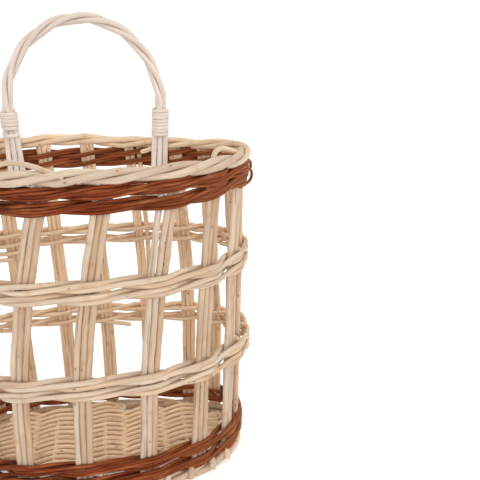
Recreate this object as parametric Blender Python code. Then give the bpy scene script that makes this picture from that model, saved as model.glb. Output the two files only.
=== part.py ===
"""Wall hanging planter: an open wicker basket with a flat back and a twisted hoop handle.

Upright stakes, each of three rods side by side, stand on a rope-like foot border.
Four wales bind them: two of dyed rods at top and bottom, two of natural rods between.
A rolled border closes the rim, and a handle of three twisted rods rises at the back wall.
Metres, +Z up, the back wall towards +Y, standing on the flats of the foot border at Z = 0.
"""

import math
from functools import lru_cache

import bmesh
import bpy
from mathutils import Matrix, Vector

NAME = "wall_hanging_planter"

# Clearance between pieces that touch
CLEARANCE = 0.0003

# Plan of the stake line: rounded front, nearly flat back wall
TOP_HALF_WIDTH = 0.1462
FOOT_HALF_WIDTH = 0.1370
TOP_FRONT_DEPTH = 0.0975
FOOT_FRONT_DEPTH = 0.0910
BACK_DEPTH = 0.0565
FRONT_POWER = 2.13
BACK_POWER = 2.55
FLARE_POWER = 0.5
OUTLINE_STEPS = 720

# Heights, from the floor
BODY_HEIGHT = 0.3040
UPPER_BAND_HEIGHT = 0.2007
LOWER_BAND_HEIGHT = 0.1128

# Stakes: three rods side by side, thicker in front than at the wall
STAKE_FRONT_ROD = 0.0053
STAKE_BACK_ROD = 0.0043
STAKE_NOTCH_SHARE = 0.45
STAKE_LEAN_POWER = 2.0
# Where each stake stands round the plan, from the front centre towards +X
STAKE_FOOT_SHARES = (
    -0.018, 0.064, 0.136, 0.192, 0.236, 0.278,
    0.320, 0.363, 0.424, 0.483, 0.542, 0.602,
    0.652, 0.702, 0.752, 0.804, 0.856, 0.912,
)
STAKE_TOP_SHARES = (
    0.023, 0.097, 0.158, 0.205, 0.250, 0.296,
    0.342, 0.383, 0.440, 0.498, 0.553, 0.609,
    0.664, 0.716, 0.770, 0.826, 0.886, 0.959,
)

# Wales: three weavers, each in front of two stakes and behind one, twice round the basket
WALE_WEAVER_COUNT = 3
WALE_ROW_COUNT = 2
WALE_HEAP_SHARE = 1.17
WALE_CORNER_SHARE = 1.3
NATURAL_ROD = 0.0046
DYED_ROD = 0.0025
DYED_WAIST_SHARE = 0.6
DYED_BROW_SHARE = 0.8
ROD_SIDES = 5
CANE_SIDES = 6
# The stake, counted from 0, where each wale's first weaver starts
UPPER_WALE_START = 3
UPPER_BAND_START = 3
LOWER_BAND_START = 3
LOWER_WALE_START = 4

# Rim border and foot border: three rods laid up like a rope
ROPE_RODS = 3
RIM_ROD = 0.0062
RIM_TURNS = 6
RIM_STEPS_PER_TURN = 7
RIM_JOINT_SHARE = 0.62
FOOT_ROD = 0.0054
FOOT_TURNS = 6
FOOT_STEPS_PER_TURN = 7
FOOT_JOINT_SHARE = 0.385
FOOT_INSET = 0.0050
FOOT_FLAT = 0.0005
JOINT_GAP = 0.0008

# Handle: three rods, twisted over the arch and lying flat in the legs
HANDLE_ROD = 0.0043
HANDLE_HALF_WIDTH = 0.0700
HANDLE_OFFSET = 0.0030
HANDLE_TOP_ABOVE_RIM = 0.1115
HANDLE_SPRING_ABOVE_RIM = 0.0280
HANDLE_LEG_DEPTH = 0.0700
HANDLE_LEG_INSET = 0.0050
HANDLE_LEG_SPLAY_SHARE = 1.2
HANDLE_START_ANGLE = math.pi / 6
HANDLE_TURNS = 7 / 3
HANDLE_STEPS_PER_TURN = 12
HANDLE_OPENING_LENGTH = 0.0180
HANDLE_OPENING_STEPS = 3

# Lashings: flat cane wound round each leg above the rim
CANE_WIDTH = 0.0027
CANE_THICKNESS = 0.0019
CANE_PITCH = 0.0032
LOOP_POINTS = 14
RIGHT_LOOPS = 7
LEFT_LOOPS = 5
TIE_LOOPS = 1.1
LEAST_GAP = 0.0004

# Base: sticks from front to back with a pair of weavers snaking across them
BASE_STICK = 0.0048
BASE_STICK_SHARES = (-0.69, -0.35, 0.04, 0.35, 0.69)
BASE_ROD = 0.0043
BASE_INSET = 0.0160
BASE_LIFT_SHARE = 1.25
BASE_PAIR = 2
BASE_STICK_SIDES = 8


def srgb(red, green, blue):
    """Linear colour from 0 to 255 display values."""
    channels = []
    for value in (red, green, blue):
        share = value / 255
        linear = share / 12.92 if share <= 0.04045 else ((share + 0.055) / 1.055) ** 2.4
        channels.append(linear)
    return (*channels, 1.0)


def make_material(name, colour, roughness):
    material = bpy.data.materials.new(name)
    material.use_nodes = True
    shader = material.node_tree.nodes["Principled BSDF"]
    shader.inputs["Base Color"].default_value = colour
    shader.inputs["Roughness"].default_value = roughness
    shader.inputs["Metallic"].default_value = 0
    material.diffuse_color = colour
    return material


# Sizes that follow from the ones above
def rope_lay(rod, steps_per_turn):
    """Distance of each rod's centre from the centre of a three-rod rope."""
    touching = (rod + CLEARANCE) / (2 * math.sin(math.pi / ROPE_RODS))
    return touching / math.cos(math.pi / steps_per_turn)


def rope_radius(rod, steps_per_turn):
    return rope_lay(rod, steps_per_turn) + rod / 2


def wale_lift(tall):
    """Height of a weaver above or below the middle of its row."""
    return WALE_HEAP_SHARE * (tall + CLEARANCE) / 2


def wale_pitch(tall):
    return 2 * wale_lift(tall) + tall + CLEARANCE


def wale_half_height(tall):
    return wale_pitch(tall) * (WALE_ROW_COUNT - 1) / 2 + wale_lift(tall) + tall / 2


def wale_offset(stake_rod, thick, tall):
    """How far a weaver's centre lies from the stake line, in front or behind."""
    beside_stake = stake_rod / 2 + CLEARANCE + thick / 2
    room = (thick + CLEARANCE) / (tall + CLEARANCE)
    past_weaver = wale_lift(tall) * room / math.sqrt(WALE_HEAP_SHARE ** 2 - 1)
    return max(beside_stake, past_weaver)


DYED_TALL = 2 * DYED_ROD
RIM_RADIUS = rope_radius(RIM_ROD, RIM_STEPS_PER_TURN)
RIM_HEIGHT = BODY_HEIGHT - RIM_RADIUS
FOOT_RADIUS = rope_radius(FOOT_ROD, FOOT_STEPS_PER_TURN)
FOOT_DEPTH = rope_lay(FOOT_ROD, FOOT_STEPS_PER_TURN) + FOOT_ROD / 2 * math.cos(math.pi / ROD_SIDES)
FOOT_HEIGHT = FOOT_DEPTH - FOOT_FLAT
FOOT_TOP = FOOT_HEIGHT + FOOT_RADIUS
STAKE_FOOT = FOOT_TOP + CLEARANCE
STAKE_TOP = RIM_HEIGHT - RIM_RADIUS - CLEARANCE
STAKE_LEVELS = (STAKE_FOOT, LOWER_BAND_HEIGHT, UPPER_BAND_HEIGHT, STAKE_TOP)
LOWER_WALE_HEIGHT = STAKE_FOOT + wale_half_height(DYED_TALL)
UPPER_WALE_HEIGHT = STAKE_TOP - wale_half_height(DYED_TALL)
HANDLE_LAY = rope_lay(HANDLE_ROD, HANDLE_STEPS_PER_TURN)
HANDLE_ROPE_RADIUS = HANDLE_LAY + HANDLE_ROD / 2
HANDLE_SPRING_HEIGHT = BODY_HEIGHT + HANDLE_SPRING_ABOVE_RIM
HANDLE_RISE = HANDLE_TOP_ABOVE_RIM - HANDLE_SPRING_ABOVE_RIM - HANDLE_ROPE_RADIUS
LASHING_FOOT = BODY_HEIGHT + CLEARANCE + CANE_WIDTH / 2
CANE_RADIUS = HANDLE_ROPE_RADIUS + CLEARANCE + CANE_THICKNESS / 2
BASE_ROW = BASE_PAIR * (BASE_ROD + CLEARANCE)
TURN_REACH = BASE_ROW * 3 / 4 + BASE_ROD / 2


# The plan of the basket
def rise_of(height):
    """Share of the way from the foot of the stakes to their top."""
    return max(0, height - STAKE_FOOT) / (STAKE_TOP - STAKE_FOOT)


@lru_cache(maxsize=None)
def outline(height):
    """Points of the stake line at one height, with the length run up to each."""
    rise = rise_of(height)
    half_width = FOOT_HALF_WIDTH + (TOP_HALF_WIDTH - FOOT_HALF_WIDTH) * rise ** FLARE_POWER
    front_depth = FOOT_FRONT_DEPTH + (TOP_FRONT_DEPTH - FOOT_FRONT_DEPTH) * rise
    points = []
    for step in range(OUTLINE_STEPS + 1):
        angle = 2 * math.pi * step / OUTLINE_STEPS
        across, along = math.sin(angle), -math.cos(angle)
        in_front = along < 0
        power = FRONT_POWER if in_front else BACK_POWER
        depth = front_depth if in_front else BACK_DEPTH
        x = math.copysign(abs(across) ** (2 / power), across) * half_width
        y = math.copysign(abs(along) ** (2 / power), along) * depth
        points.append(Vector((x, y, height)))
    lengths = [0]
    for before, after in zip(points, points[1:]):
        lengths.append(lengths[-1] + (after - before).length)
    return points, lengths


def outline_point(share, height):
    points, lengths = outline(height)
    target = (share % 1) * lengths[-1]
    low, high = 0, len(lengths) - 1
    while high - low > 1:
        middle = (low + high) // 2
        if lengths[middle] <= target:
            low = middle
        else:
            high = middle
    part = (target - lengths[low]) / (lengths[high] - lengths[low])
    return points[low].lerp(points[high], part)


def wall_frame(share, height):
    """Centre, direction along the wall and outward direction at one place."""
    step = 1 / OUTLINE_STEPS
    centre = outline_point(share, height)
    along = outline_point(share + step, height) - outline_point(share - step, height)
    along.normalize()
    outward = along.cross(Vector((0, 0, 1)))
    return centre, along, outward


@lru_cache(maxsize=None)
def stake_level(stake, height):
    """Centre of a stake and direction along the wall, where the stake bends."""
    foot, top = STAKE_FOOT_SHARES[stake], STAKE_TOP_SHARES[stake]
    share = foot + (top - foot) * rise_of(height) ** STAKE_LEAN_POWER
    centre, along, _ = wall_frame(share, height)
    return centre, along


def stake_frame(stake, height):
    """Centre, direction along the wall and outward direction of a stake, straight between levels."""
    above = next(level for level in STAKE_LEVELS[1:] if height <= level)
    below = STAKE_LEVELS[STAKE_LEVELS.index(above) - 1]
    part = (height - below) / (above - below)
    low_centre, low_along = stake_level(stake, below)
    high_centre, high_along = stake_level(stake, above)
    along = low_along.lerp(high_along, part).normalized()
    return low_centre.lerp(high_centre, part), along, along.cross(Vector((0, 0, 1)))


def stake_rod(stake):
    """Rods thin out from the front of the basket to its back wall."""
    backness = (1 - math.cos(2 * math.pi * STAKE_FOOT_SHARES[stake])) / 2
    return STAKE_FRONT_ROD + (STAKE_BACK_ROD - STAKE_FRONT_ROD) * backness


def back_wall(across):
    """Y of the stake line at the back, at the height of the rim."""
    part = min(1, abs(across) / TOP_HALF_WIDTH)
    return BACK_DEPTH * (1 - part ** BACK_POWER) ** (1 / BACK_POWER)


# Objects
def make_collection(name):
    collection = bpy.data.collections.new(name)
    bpy.context.scene.collection.children.link(collection)
    return collection


def place(scene, name, data, material):
    """Put a new piece in the planter's collection, under its origin."""
    piece = bpy.data.objects.new(name, data)
    data.materials.append(material)
    piece.parent = scene["origin"]
    scene["parts"].objects.link(piece)
    return piece


def section(scene, name, points):
    """A closed profile that rods are drawn along."""
    curve = bpy.data.curves.new(name, "CURVE")
    curve.dimensions = "2D"
    spline = curve.splines.new("POLY")
    spline.points.add(len(points) - 1)
    for target, (x, y) in zip(spline.points, points):
        target.co = (x, y, 0, 1)
    spline.use_cyclic_u = True
    guide = bpy.data.objects.new(name, curve)
    guide.hide_render = True
    guide.display_type = "WIRE"
    scene["guides"].objects.link(guide)
    return guide


def oval(scene, name, wide, tall, sides):
    points = []
    for corner in range(sides):
        angle = math.pi / 2 - 2 * math.pi * corner / sides
        points.append((math.cos(angle) * wide / 2, math.sin(angle) * tall / 2))
    return section(scene, name, points)


def paired_rods(scene, name, rod):
    """Two rods, one above the other, drawn in a little where they meet."""
    side = rod / 2
    brow = rod * DYED_BROW_SHARE
    points = [(side, brow), (side * DYED_WAIST_SHARE, 0), (side, -brow)]
    points += [(-x, y) for x, y in reversed(points)]
    return section(scene, name, points)


def rod_along(scene, name, points, profile, material, twist="Z_UP"):
    curve = bpy.data.curves.new(name, "CURVE")
    curve.dimensions = "3D"
    curve.twist_mode = twist
    curve.bevel_mode = "OBJECT"
    curve.bevel_object = profile
    curve.use_fill_caps = True
    spline = curve.splines.new("POLY")
    spline.points.add(len(points) - 1)
    for target, point in zip(spline.points, points):
        target.co = (*point, 1)
    spline.use_smooth = True
    return place(scene, name, curve, material)


# Stakes
def stake_outline(rod):
    """Three touching rods in section, drawn in at the two notches between them."""
    notch = rod / 2 * STAKE_NOTCH_SHARE
    front = [(-rod, rod / 2), (-rod / 2, notch), (0, rod / 2), (rod / 2, notch), (rod, rod / 2)]
    back = [(x, -y) for x, y in reversed(front)]
    return front + [(rod + rod / 2, 0)] + back + [(-rod - rod / 2, 0)]


def make_stake(scene, stake, material):
    name = f"stake_{stake + 1:02d}"
    turns = []
    for height in STAKE_LEVELS:
        centre, along, outward = stake_frame(stake, height)
        turn = Matrix((along, outward, along.cross(outward))).transposed().to_4x4()
        turns.append(Matrix.Translation(centre) @ turn)
    mesh = bpy.data.meshes.new(name)
    shape = bmesh.new()
    corners = [shape.verts.new((x, y, 0)) for x, y in stake_outline(stake_rod(stake))]
    face = shape.faces.new(corners)
    bmesh.ops.transform(shape, matrix=turns[0], verts=corners)
    for before, after in zip(turns, turns[1:]):
        grown = bmesh.ops.extrude_face_region(shape, geom=[face])
        if before is not turns[0]:
            shape.faces.remove(face)
        corners = [item for item in grown["geom"] if isinstance(item, bmesh.types.BMVert)]
        face = next(item for item in grown["geom"] if isinstance(item, bmesh.types.BMFace))
        bmesh.ops.transform(shape, matrix=after @ before.inverted(), verts=corners)
    bmesh.ops.recalc_face_normals(shape, faces=shape.faces)
    shape.to_mesh(mesh)
    shape.free()
    mesh.shade_smooth()
    mesh.set_sharp_from_angle(angle=math.radians(70))
    return place(scene, name, mesh, material)


# Wales
def wale_reach(stake, side, height):
    """How far past a stake's middle a weaver runs on before it turns to the next one."""
    centre, along, _ = stake_frame(stake, height)
    neighbour = stake_frame((stake + side) % len(STAKE_FOOT_SHARES), height)[0]
    turn = along.angle((neighbour - centre) * side)
    return stake_rod(stake) * (1 + WALE_CORNER_SHARE * turn)


def wale_route(first, middle, thick, tall):
    """Route of one weaver: behind a stake, then in front of two, WALE_ROW_COUNT times round."""
    stakes = len(STAKE_FOOT_SHARES)
    last = WALE_ROW_COUNT * stakes
    lift, pitch = wale_lift(tall), wale_pitch(tall)
    bottom_row = middle - pitch * (WALE_ROW_COUNT - 1) / 2

    def row(step):
        return bottom_row + pitch * min(step // stakes, WALE_ROW_COUNT - 1)

    route = []
    for step in range(last + 1):
        stake = (first + step) % stakes
        phase = step % WALE_WEAVER_COUNT
        leaving = row(step) - lift if phase < WALE_WEAVER_COUNT - 1 else row(step) + lift
        arriving = leaving
        if phase == 0 and step > 0:
            arriving = row(step - 1) + lift
        if step == last:
            leaving = arriving
        away = wale_offset(stake_rod(stake), thick, tall)
        if phase == 0:
            away = -away
        for side, height in ((-1, arriving), (1, leaving)):
            centre, along, outward = stake_frame(stake, height)
            reach = wale_reach(stake, side, height)
            route.append(centre + along * side * reach + outward * away)
    return route


def make_wale(scene, name, first, middle, profile, size, material):
    thick, tall = size
    for weaver in range(WALE_WEAVER_COUNT):
        route = wale_route(first + weaver, middle, thick, tall)
        rod_along(scene, f"{name}_weaver_{weaver + 1}", route, profile, material)


# Borders
def rope_route(rod, rod_index, height, inset, turns, steps_per_turn, joint):
    """Route of one rod of a rope that follows the wall all the way round."""
    lay = rope_lay(rod, steps_per_turn)
    steps = turns * steps_per_turn
    lengths = outline(height)[1]
    opening = JOINT_GAP / lengths[-1]
    route = []
    for step in range(steps + 1):
        part = step / steps
        angle = 2 * math.pi * (turns * part + rod_index / ROPE_RODS)
        share = joint + rod_index / ROPE_RODS + part * (1 - opening)
        centre, _, outward = wall_frame(share, height)
        sideways = outward * (lay * math.cos(angle) - inset)
        route.append(centre + sideways + Vector((0, 0, lay * math.sin(angle))))
    return route


def make_rim(scene, profile, material):
    for index in range(ROPE_RODS):
        route = rope_route(
            RIM_ROD, index, RIM_HEIGHT, 0, RIM_TURNS, RIM_STEPS_PER_TURN, RIM_JOINT_SHARE
        )
        rod_along(scene, f"rim_border_rod_{index + 1}", route, profile, material)


def made_mesh(scene, piece, material):
    """The curve's solid as a mesh of its own, with its caps welded on."""
    graph = bpy.context.evaluated_depsgraph_get()
    mesh = bpy.data.meshes.new_from_object(piece.evaluated_get(graph))
    name = piece.name
    matrix = piece.matrix_world.copy()
    curve = piece.data
    bpy.data.objects.remove(piece)
    bpy.data.curves.remove(curve)
    mesh.materials.clear()
    solid = place(scene, name, mesh, material)
    solid.matrix_world = matrix
    shape = bmesh.new()
    shape.from_mesh(mesh)
    bmesh.ops.remove_doubles(shape, verts=shape.verts, dist=CLEARANCE / 100)
    return solid, shape


def make_foot(scene, profile, material):
    """The foot border, cut flat where it stands."""
    for index in range(ROPE_RODS):
        route = rope_route(
            FOOT_ROD, index, FOOT_HEIGHT, FOOT_INSET, FOOT_TURNS, FOOT_STEPS_PER_TURN,
            FOOT_JOINT_SHARE,
        )
        rod = rod_along(scene, f"foot_border_rod_{index + 1}", route, profile, material)
        solid, shape = made_mesh(scene, rod, material)
        bmesh.ops.bisect_plane(
            shape,
            geom=shape.verts[:] + shape.edges[:] + shape.faces[:],
            plane_co=(0, 0, 0),
            plane_no=(0, 0, 1),
            clear_inner=True,
        )
        rims = [edge for edge in shape.edges if edge.is_boundary]
        bmesh.ops.holes_fill(shape, edges=rims)
        bmesh.ops.triangulate(shape, faces=[face for face in shape.faces if len(face.verts) > 4])
        shape.to_mesh(solid.data)
        shape.free()
        solid.data.shade_smooth()
        solid.data.set_sharp_from_angle(angle=math.radians(50))


# Handle and lashings
def handle_depth():
    """Y of the handle: its legs lie against the rim border's inner side."""
    reach = HANDLE_HALF_WIDTH + HANDLE_OFFSET + HANDLE_ROPE_RADIUS
    return back_wall(reach) - RIM_RADIUS - 2 * CLEARANCE - HANDLE_ROD / 2


def spread(offsets):
    """Push the three rods apart until no two of them touch."""
    pairs = ((0, 1), (1, 2), (0, 2))
    nearest = min((offsets[a] - offsets[b]).length for a, b in pairs)
    growth = max(1, (HANDLE_ROD + CLEARANCE) / nearest)
    return [offset * growth for offset in offsets]


def bundle(angle, flatness, splay):
    """Where the three rods lie across the handle: twisted at 0, side by side at 1."""
    offsets = []
    for index in range(ROPE_RODS):
        turn = angle + 2 * math.pi * index / ROPE_RODS
        twisted = Vector((math.cos(turn), math.sin(turn))) * HANDLE_LAY
        place_in_row = round((turn - HANDLE_START_ANGLE) * ROPE_RODS / (2 * math.pi)) % ROPE_RODS
        beside = Vector(((1 - place_in_row) * (HANDLE_ROD + CLEARANCE) * splay, 0))
        offsets.append(twisted.lerp(beside, flatness))
    return spread(offsets)


def handle_stations():
    """Centre, outward direction and bundle at each station, from left foot to right."""
    end_angle = HANDLE_START_ANGLE + 2 * math.pi * HANDLE_TURNS
    leg_foot = BODY_HEIGHT - HANDLE_LEG_DEPTH
    opening_foot = LASHING_FOOT - CANE_WIDTH / 2 - HANDLE_OPENING_LENGTH
    leg = [(leg_foot, 1, HANDLE_LEG_SPLAY_SHARE)]
    for step in range(HANDLE_OPENING_STEPS + 1):
        part = step / HANDLE_OPENING_STEPS
        leg.append((opening_foot + HANDLE_OPENING_LENGTH * part, 1 - part, 1))
    left, right = [], []
    for height, flatness, splay in leg:
        drop = (HANDLE_SPRING_HEIGHT - height) / (HANDLE_SPRING_HEIGHT - leg_foot)
        across = HANDLE_HALF_WIDTH - HANDLE_LEG_INSET * drop
        for side, side_list, angle in ((-1, left, HANDLE_START_ANGLE), (1, right, end_angle)):
            centre = Vector((side * across, 0, height))
            side_list.append((centre, Vector((side, 0, 0)), bundle(angle, flatness, splay)))
    arch = []
    steps = round(HANDLE_TURNS * HANDLE_STEPS_PER_TURN)
    for step in range(steps + 1):
        part = step / steps
        around = math.pi * (1 - part)
        centre = Vector((
            HANDLE_HALF_WIDTH * math.cos(around),
            0,
            HANDLE_SPRING_HEIGHT + HANDLE_RISE * math.sin(around),
        ))
        away = Vector((
            HANDLE_RISE * math.cos(around), 0, HANDLE_HALF_WIDTH * math.sin(around)
        )).normalized()
        angle = HANDLE_START_ANGLE + 2 * math.pi * HANDLE_TURNS * part
        arch.append((centre, away, bundle(angle, 0, 1)))
    return left + arch + right[::-1]


def make_handle(scene, profile, material):
    place_of_handle = Vector((HANDLE_OFFSET, handle_depth(), 0))
    stations = handle_stations()
    for index in range(ROPE_RODS):
        route = []
        for centre, away, offsets in stations:
            out, back = offsets[index]
            route.append(place_of_handle + centre + away * out + Vector((0, back, 0)))
        rod_along(
            scene, f"handle_rod_{index + 1}", route, profile, material, twist="MINIMUM"
        )


def leg_centre(side, height):
    drop = (HANDLE_SPRING_HEIGHT - height) / (HANDLE_SPRING_HEIGHT - BODY_HEIGHT + HANDLE_LEG_DEPTH)
    across = side * (HANDLE_HALF_WIDTH - HANDLE_LEG_INSET * max(0, drop))
    return Vector((HANDLE_OFFSET + across, handle_depth(), height))


def coil_route(side, foot, loops):
    """A helix round one leg, with a straight end one cane width long at each tip."""
    count = round(loops * LOOP_POINTS)
    route = []
    for step in range(count + 1):
        angle = 2 * math.pi * step / LOOP_POINTS
        height = foot + CANE_PITCH * step / LOOP_POINTS
        around = Vector((math.sin(angle), math.cos(angle), 0)) * CANE_RADIUS
        route.append(leg_centre(side, height) + around)
    first = route[0] - route[1]
    last = route[-1] - route[-2]
    route.insert(0, route[0] + first.normalized() * CANE_WIDTH)
    route.append(route[-1] + last.normalized() * CANE_WIDTH)
    return route


def least_gap(route):
    """Least distance between neighbouring loops of a coil, less the cane's width."""
    nearest = min(
        (route[step] - route[step + LOOP_POINTS]).length
        for step in range(1, len(route) - LOOP_POINTS - 1)
    )
    return nearest - CANE_WIDTH


def make_lashings(scene, profile, material):
    tie_foot = LASHING_FOOT + CLEARANCE
    left_foot = tie_foot + CANE_PITCH * (TIE_LOOPS + 1)
    coils = (
        ("lashing_right", 1, LASHING_FOOT, RIGHT_LOOPS),
        ("lashing_left", -1, left_foot, LEFT_LOOPS),
        ("tie_left", -1, tie_foot, TIE_LOOPS),
    )
    for name, side, foot, loops in coils:
        route = coil_route(side, foot, loops)
        if loops > TIE_LOOPS:
            gap = least_gap(route)
            state = "clear" if gap > LEAST_GAP else "TOO CLOSE"
            print(f"{name}: least gap between loops {gap * 1000:.2f} mm, {state}")
        rod_along(scene, name, route, profile, material)


# Base
def base_height():
    """The sticks' height: their ends rest on the foot border."""
    return FOOT_TOP + CLEARANCE + BASE_STICK / 2


def lower_wale_reach():
    """How far the lower wale comes inward from the stake line."""
    return wale_offset(STAKE_FRONT_ROD, DYED_ROD, DYED_TALL) + DYED_ROD / 2


def inset_depth(across, inset, in_front):
    """Depth of the plan at the foot, drawn in, at one place across."""
    power = FRONT_POWER if in_front else BACK_POWER
    depth = (FOOT_FRONT_DEPTH if in_front else BACK_DEPTH) - inset
    part = min(1, abs(across) / (FOOT_HALF_WIDTH - inset))
    return depth * (1 - part ** power) ** (1 / power)


def inset_span(along, inset):
    """Half width of the plan at the foot, drawn in, at one depth."""
    in_front = along < 0
    power = FRONT_POWER if in_front else BACK_POWER
    depth = (FOOT_FRONT_DEPTH if in_front else BACK_DEPTH) - inset
    part = min(1, abs(along) / depth)
    return (FOOT_HALF_WIDTH - inset) * (1 - part ** power) ** (1 / power)


def base_stick_places():
    half = FOOT_HALF_WIDTH - BASE_INSET
    return [share * half for share in BASE_STICK_SHARES]


def base_rows():
    """Middle of each row of the base weave, from the wall to the front."""
    back = BACK_DEPTH - BASE_INSET
    front = -(FOOT_FRONT_DEPTH - BASE_INSET)
    count = int((back - front) / BASE_ROW)
    return [back - BASE_ROW * (row + 1 / 2) for row in range(count)]


def row_heading(row):
    """Which way a row is woven: towards +X first, then back and forth."""
    return 1 if row % 2 == 0 else -1


def turn_centre(row):
    """X of the turn at the end of a row, so that its outside follows the plan."""
    rows = base_rows()
    span = min(inset_span(middle, BASE_INSET) for middle in rows[row:row + 2])
    return row_heading(row) * (span - TURN_REACH)


def row_ends(row):
    """Least and greatest X between which a row can cross sticks."""
    before = turn_centre(row - 1) if row > 0 else -turn_centre(row)
    return sorted((before, turn_centre(row)))


def crosses(row, across):
    low, high = row_ends(row)
    room = BASE_STICK / 2 + CLEARANCE + BASE_ROD / 2
    return low + room < across < high - room


def blocks(row, across):
    """Whether a row turns where a stick would run on."""
    low, high = row_ends(row)
    room = TURN_REACH + BASE_STICK / 2 + CLEARANCE
    return not crosses(row, across) and low - room < across < high + room


def stick_ends(across):
    """A stick runs from wall to wall, or stops short of a row that turns in its way."""
    rows = base_rows()
    crossed = [row for row in range(len(rows)) if crosses(row, across)]
    inset = lower_wale_reach() + CLEARANCE
    edge = abs(across) + BASE_STICK / 2
    back, front = inset_depth(edge, inset, False), -inset_depth(edge, inset, True)
    if any(blocks(row, across) for row in range(crossed[0])):
        back = rows[crossed[0]] + BASE_ROW / 2 - CLEARANCE
    if any(blocks(row, across) for row in range(crossed[-1], len(rows))):
        front = rows[crossed[-1]] - BASE_ROW / 2 + CLEARANCE
    return front, back


def make_base_sticks(scene, profile, material):
    for index, across in enumerate(base_stick_places()):
        route = [Vector((across, end, base_height())) for end in stick_ends(across)]
        rod_along(scene, f"base_stick_{index + 1}", route, profile, material)


def make_base_weavers(scene, profile, material):
    """Two rods side by side, over and under the sticks and round at each side."""
    rows = base_rows()
    level = base_height()
    lift = BASE_LIFT_SHARE * (BASE_STICK / 2 + CLEARANCE + BASE_ROD / 2)
    for index in range(BASE_PAIR):
        route = []
        for row, middle in enumerate(rows):
            heading = row_heading(row)
            beside = BASE_ROW / 4 * heading * (1 if index == 0 else -1)
            sticks = [item for item in enumerate(base_stick_places()) if crosses(row, item[1])]
            for stick, across in sticks[::heading]:
                over = 1 if (stick + row) % 2 == 0 else -1
                route.append(Vector((across, middle + beside, level + over * lift)))
            if row == len(rows) - 1:
                continue
            centre = turn_centre(row)
            halfway = middle - BASE_ROW / 2
            corner = (BASE_ROW / 2 + beside) / math.cos(math.pi / 8)
            for eighths in (3, 1, -1, -3):
                angle = math.pi / 8 * eighths
                x = centre + heading * corner * math.cos(angle)
                route.append(Vector((x, halfway + corner * math.sin(angle), level)))
        rod_along(scene, f"base_weaver_{index + 1}", route, profile, material)


def stand_on_origin(scene):
    """Bring the middle of the whole plan over the origin."""
    bpy.context.view_layer.update()
    graph = bpy.context.evaluated_depsgraph_get()
    corners = []
    for piece in scene["parts"].objects:
        if piece.type == "EMPTY":
            continue
        solid = piece.evaluated_get(graph)
        corners += [solid.matrix_world @ Vector(corner) for corner in solid.bound_box]
    for axis in (0, 1):
        low = min(corner[axis] for corner in corners)
        high = max(corner[axis] for corner in corners)
        scene["origin"].location[axis] = -(low + high) / 2
    bpy.context.view_layer.update()


def main():
    for item in list(bpy.data.objects):
        bpy.data.objects.remove(item)
    scene = {"parts": make_collection(NAME), "guides": make_collection(NAME + "_guides")}
    scene["origin"] = bpy.data.objects.new(NAME + "_origin", None)
    scene["parts"].objects.link(scene["origin"])

    peeled = make_material("peeled_willow", srgb(222, 200, 170), 0.6)
    stakes = make_material("peeled_willow_stakes", srgb(214, 190, 158), 0.6)
    pale = make_material("pale_cane", srgb(232, 218, 203), 0.55)
    dyed = make_material("chestnut_dyed_willow", srgb(140, 68, 36), 0.5)

    natural_profile = oval(scene, "natural_rod_section", NATURAL_ROD, NATURAL_ROD, ROD_SIDES)
    dyed_profile = paired_rods(scene, "dyed_pair_section", DYED_ROD)
    rim_profile = oval(scene, "rim_rod_section", RIM_ROD, RIM_ROD, ROD_SIDES)
    foot_profile = oval(scene, "foot_rod_section", FOOT_ROD, FOOT_ROD, ROD_SIDES)
    handle_profile = oval(scene, "handle_rod_section", HANDLE_ROD, HANDLE_ROD, ROD_SIDES)
    cane_profile = oval(scene, "cane_section", CANE_THICKNESS, CANE_WIDTH, CANE_SIDES)
    stick_profile = oval(scene, "base_stick_section", BASE_STICK, BASE_STICK, BASE_STICK_SIDES)
    base_profile = oval(scene, "base_rod_section", BASE_ROD, BASE_ROD, ROD_SIDES)

    for stake in range(len(STAKE_FOOT_SHARES)):
        make_stake(scene, stake, stakes)
    natural = (NATURAL_ROD, NATURAL_ROD)
    pair = (DYED_ROD, DYED_TALL)
    wales = (
        ("upper_wale", UPPER_WALE_START, UPPER_WALE_HEIGHT, dyed_profile, pair, dyed),
        ("upper_band", UPPER_BAND_START, UPPER_BAND_HEIGHT, natural_profile, natural, peeled),
        ("lower_band", LOWER_BAND_START, LOWER_BAND_HEIGHT, natural_profile, natural, peeled),
        ("lower_wale", LOWER_WALE_START, LOWER_WALE_HEIGHT, dyed_profile, pair, dyed),
    )
    for wale in wales:
        make_wale(scene, *wale)
    make_rim(scene, rim_profile, peeled)
    make_foot(scene, foot_profile, peeled)
    make_handle(scene, handle_profile, pale)
    make_lashings(scene, cane_profile, pale)
    make_base_sticks(scene, stick_profile, peeled)
    make_base_weavers(scene, base_profile, peeled)
    stand_on_origin(scene)


if __name__ == "__main__":
    main()
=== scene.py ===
"""Looks of the wall hanging planter: woven rods, their finishes, the studio and the camera.

The rods follow the routes of the CAD part, in metres, in the same frame.
"""

import math
from bisect import bisect_right
from functools import lru_cache, partial

import bpy
from bpy.props import FloatProperty, FloatVectorProperty, IntProperty, PointerProperty
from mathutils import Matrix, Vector, noise


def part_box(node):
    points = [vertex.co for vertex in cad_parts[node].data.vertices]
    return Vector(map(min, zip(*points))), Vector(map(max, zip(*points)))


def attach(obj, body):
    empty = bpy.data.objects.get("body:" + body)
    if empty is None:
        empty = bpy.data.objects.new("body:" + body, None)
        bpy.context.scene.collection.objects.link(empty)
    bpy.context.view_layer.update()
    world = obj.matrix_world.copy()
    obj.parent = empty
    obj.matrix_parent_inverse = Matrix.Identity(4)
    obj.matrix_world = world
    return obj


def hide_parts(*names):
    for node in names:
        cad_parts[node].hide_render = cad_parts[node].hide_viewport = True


bl_info = {
    "name": "Wall Hanging Planter",
    "version": (1, 0, 0),
    "blender": (4, 5, 0),
    "location": "3D Viewport > Sidebar > Planter",
    "description": "Woven rods, finishes and studio of an open wicker wall planter",
    "category": "Add Mesh",
}

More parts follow.
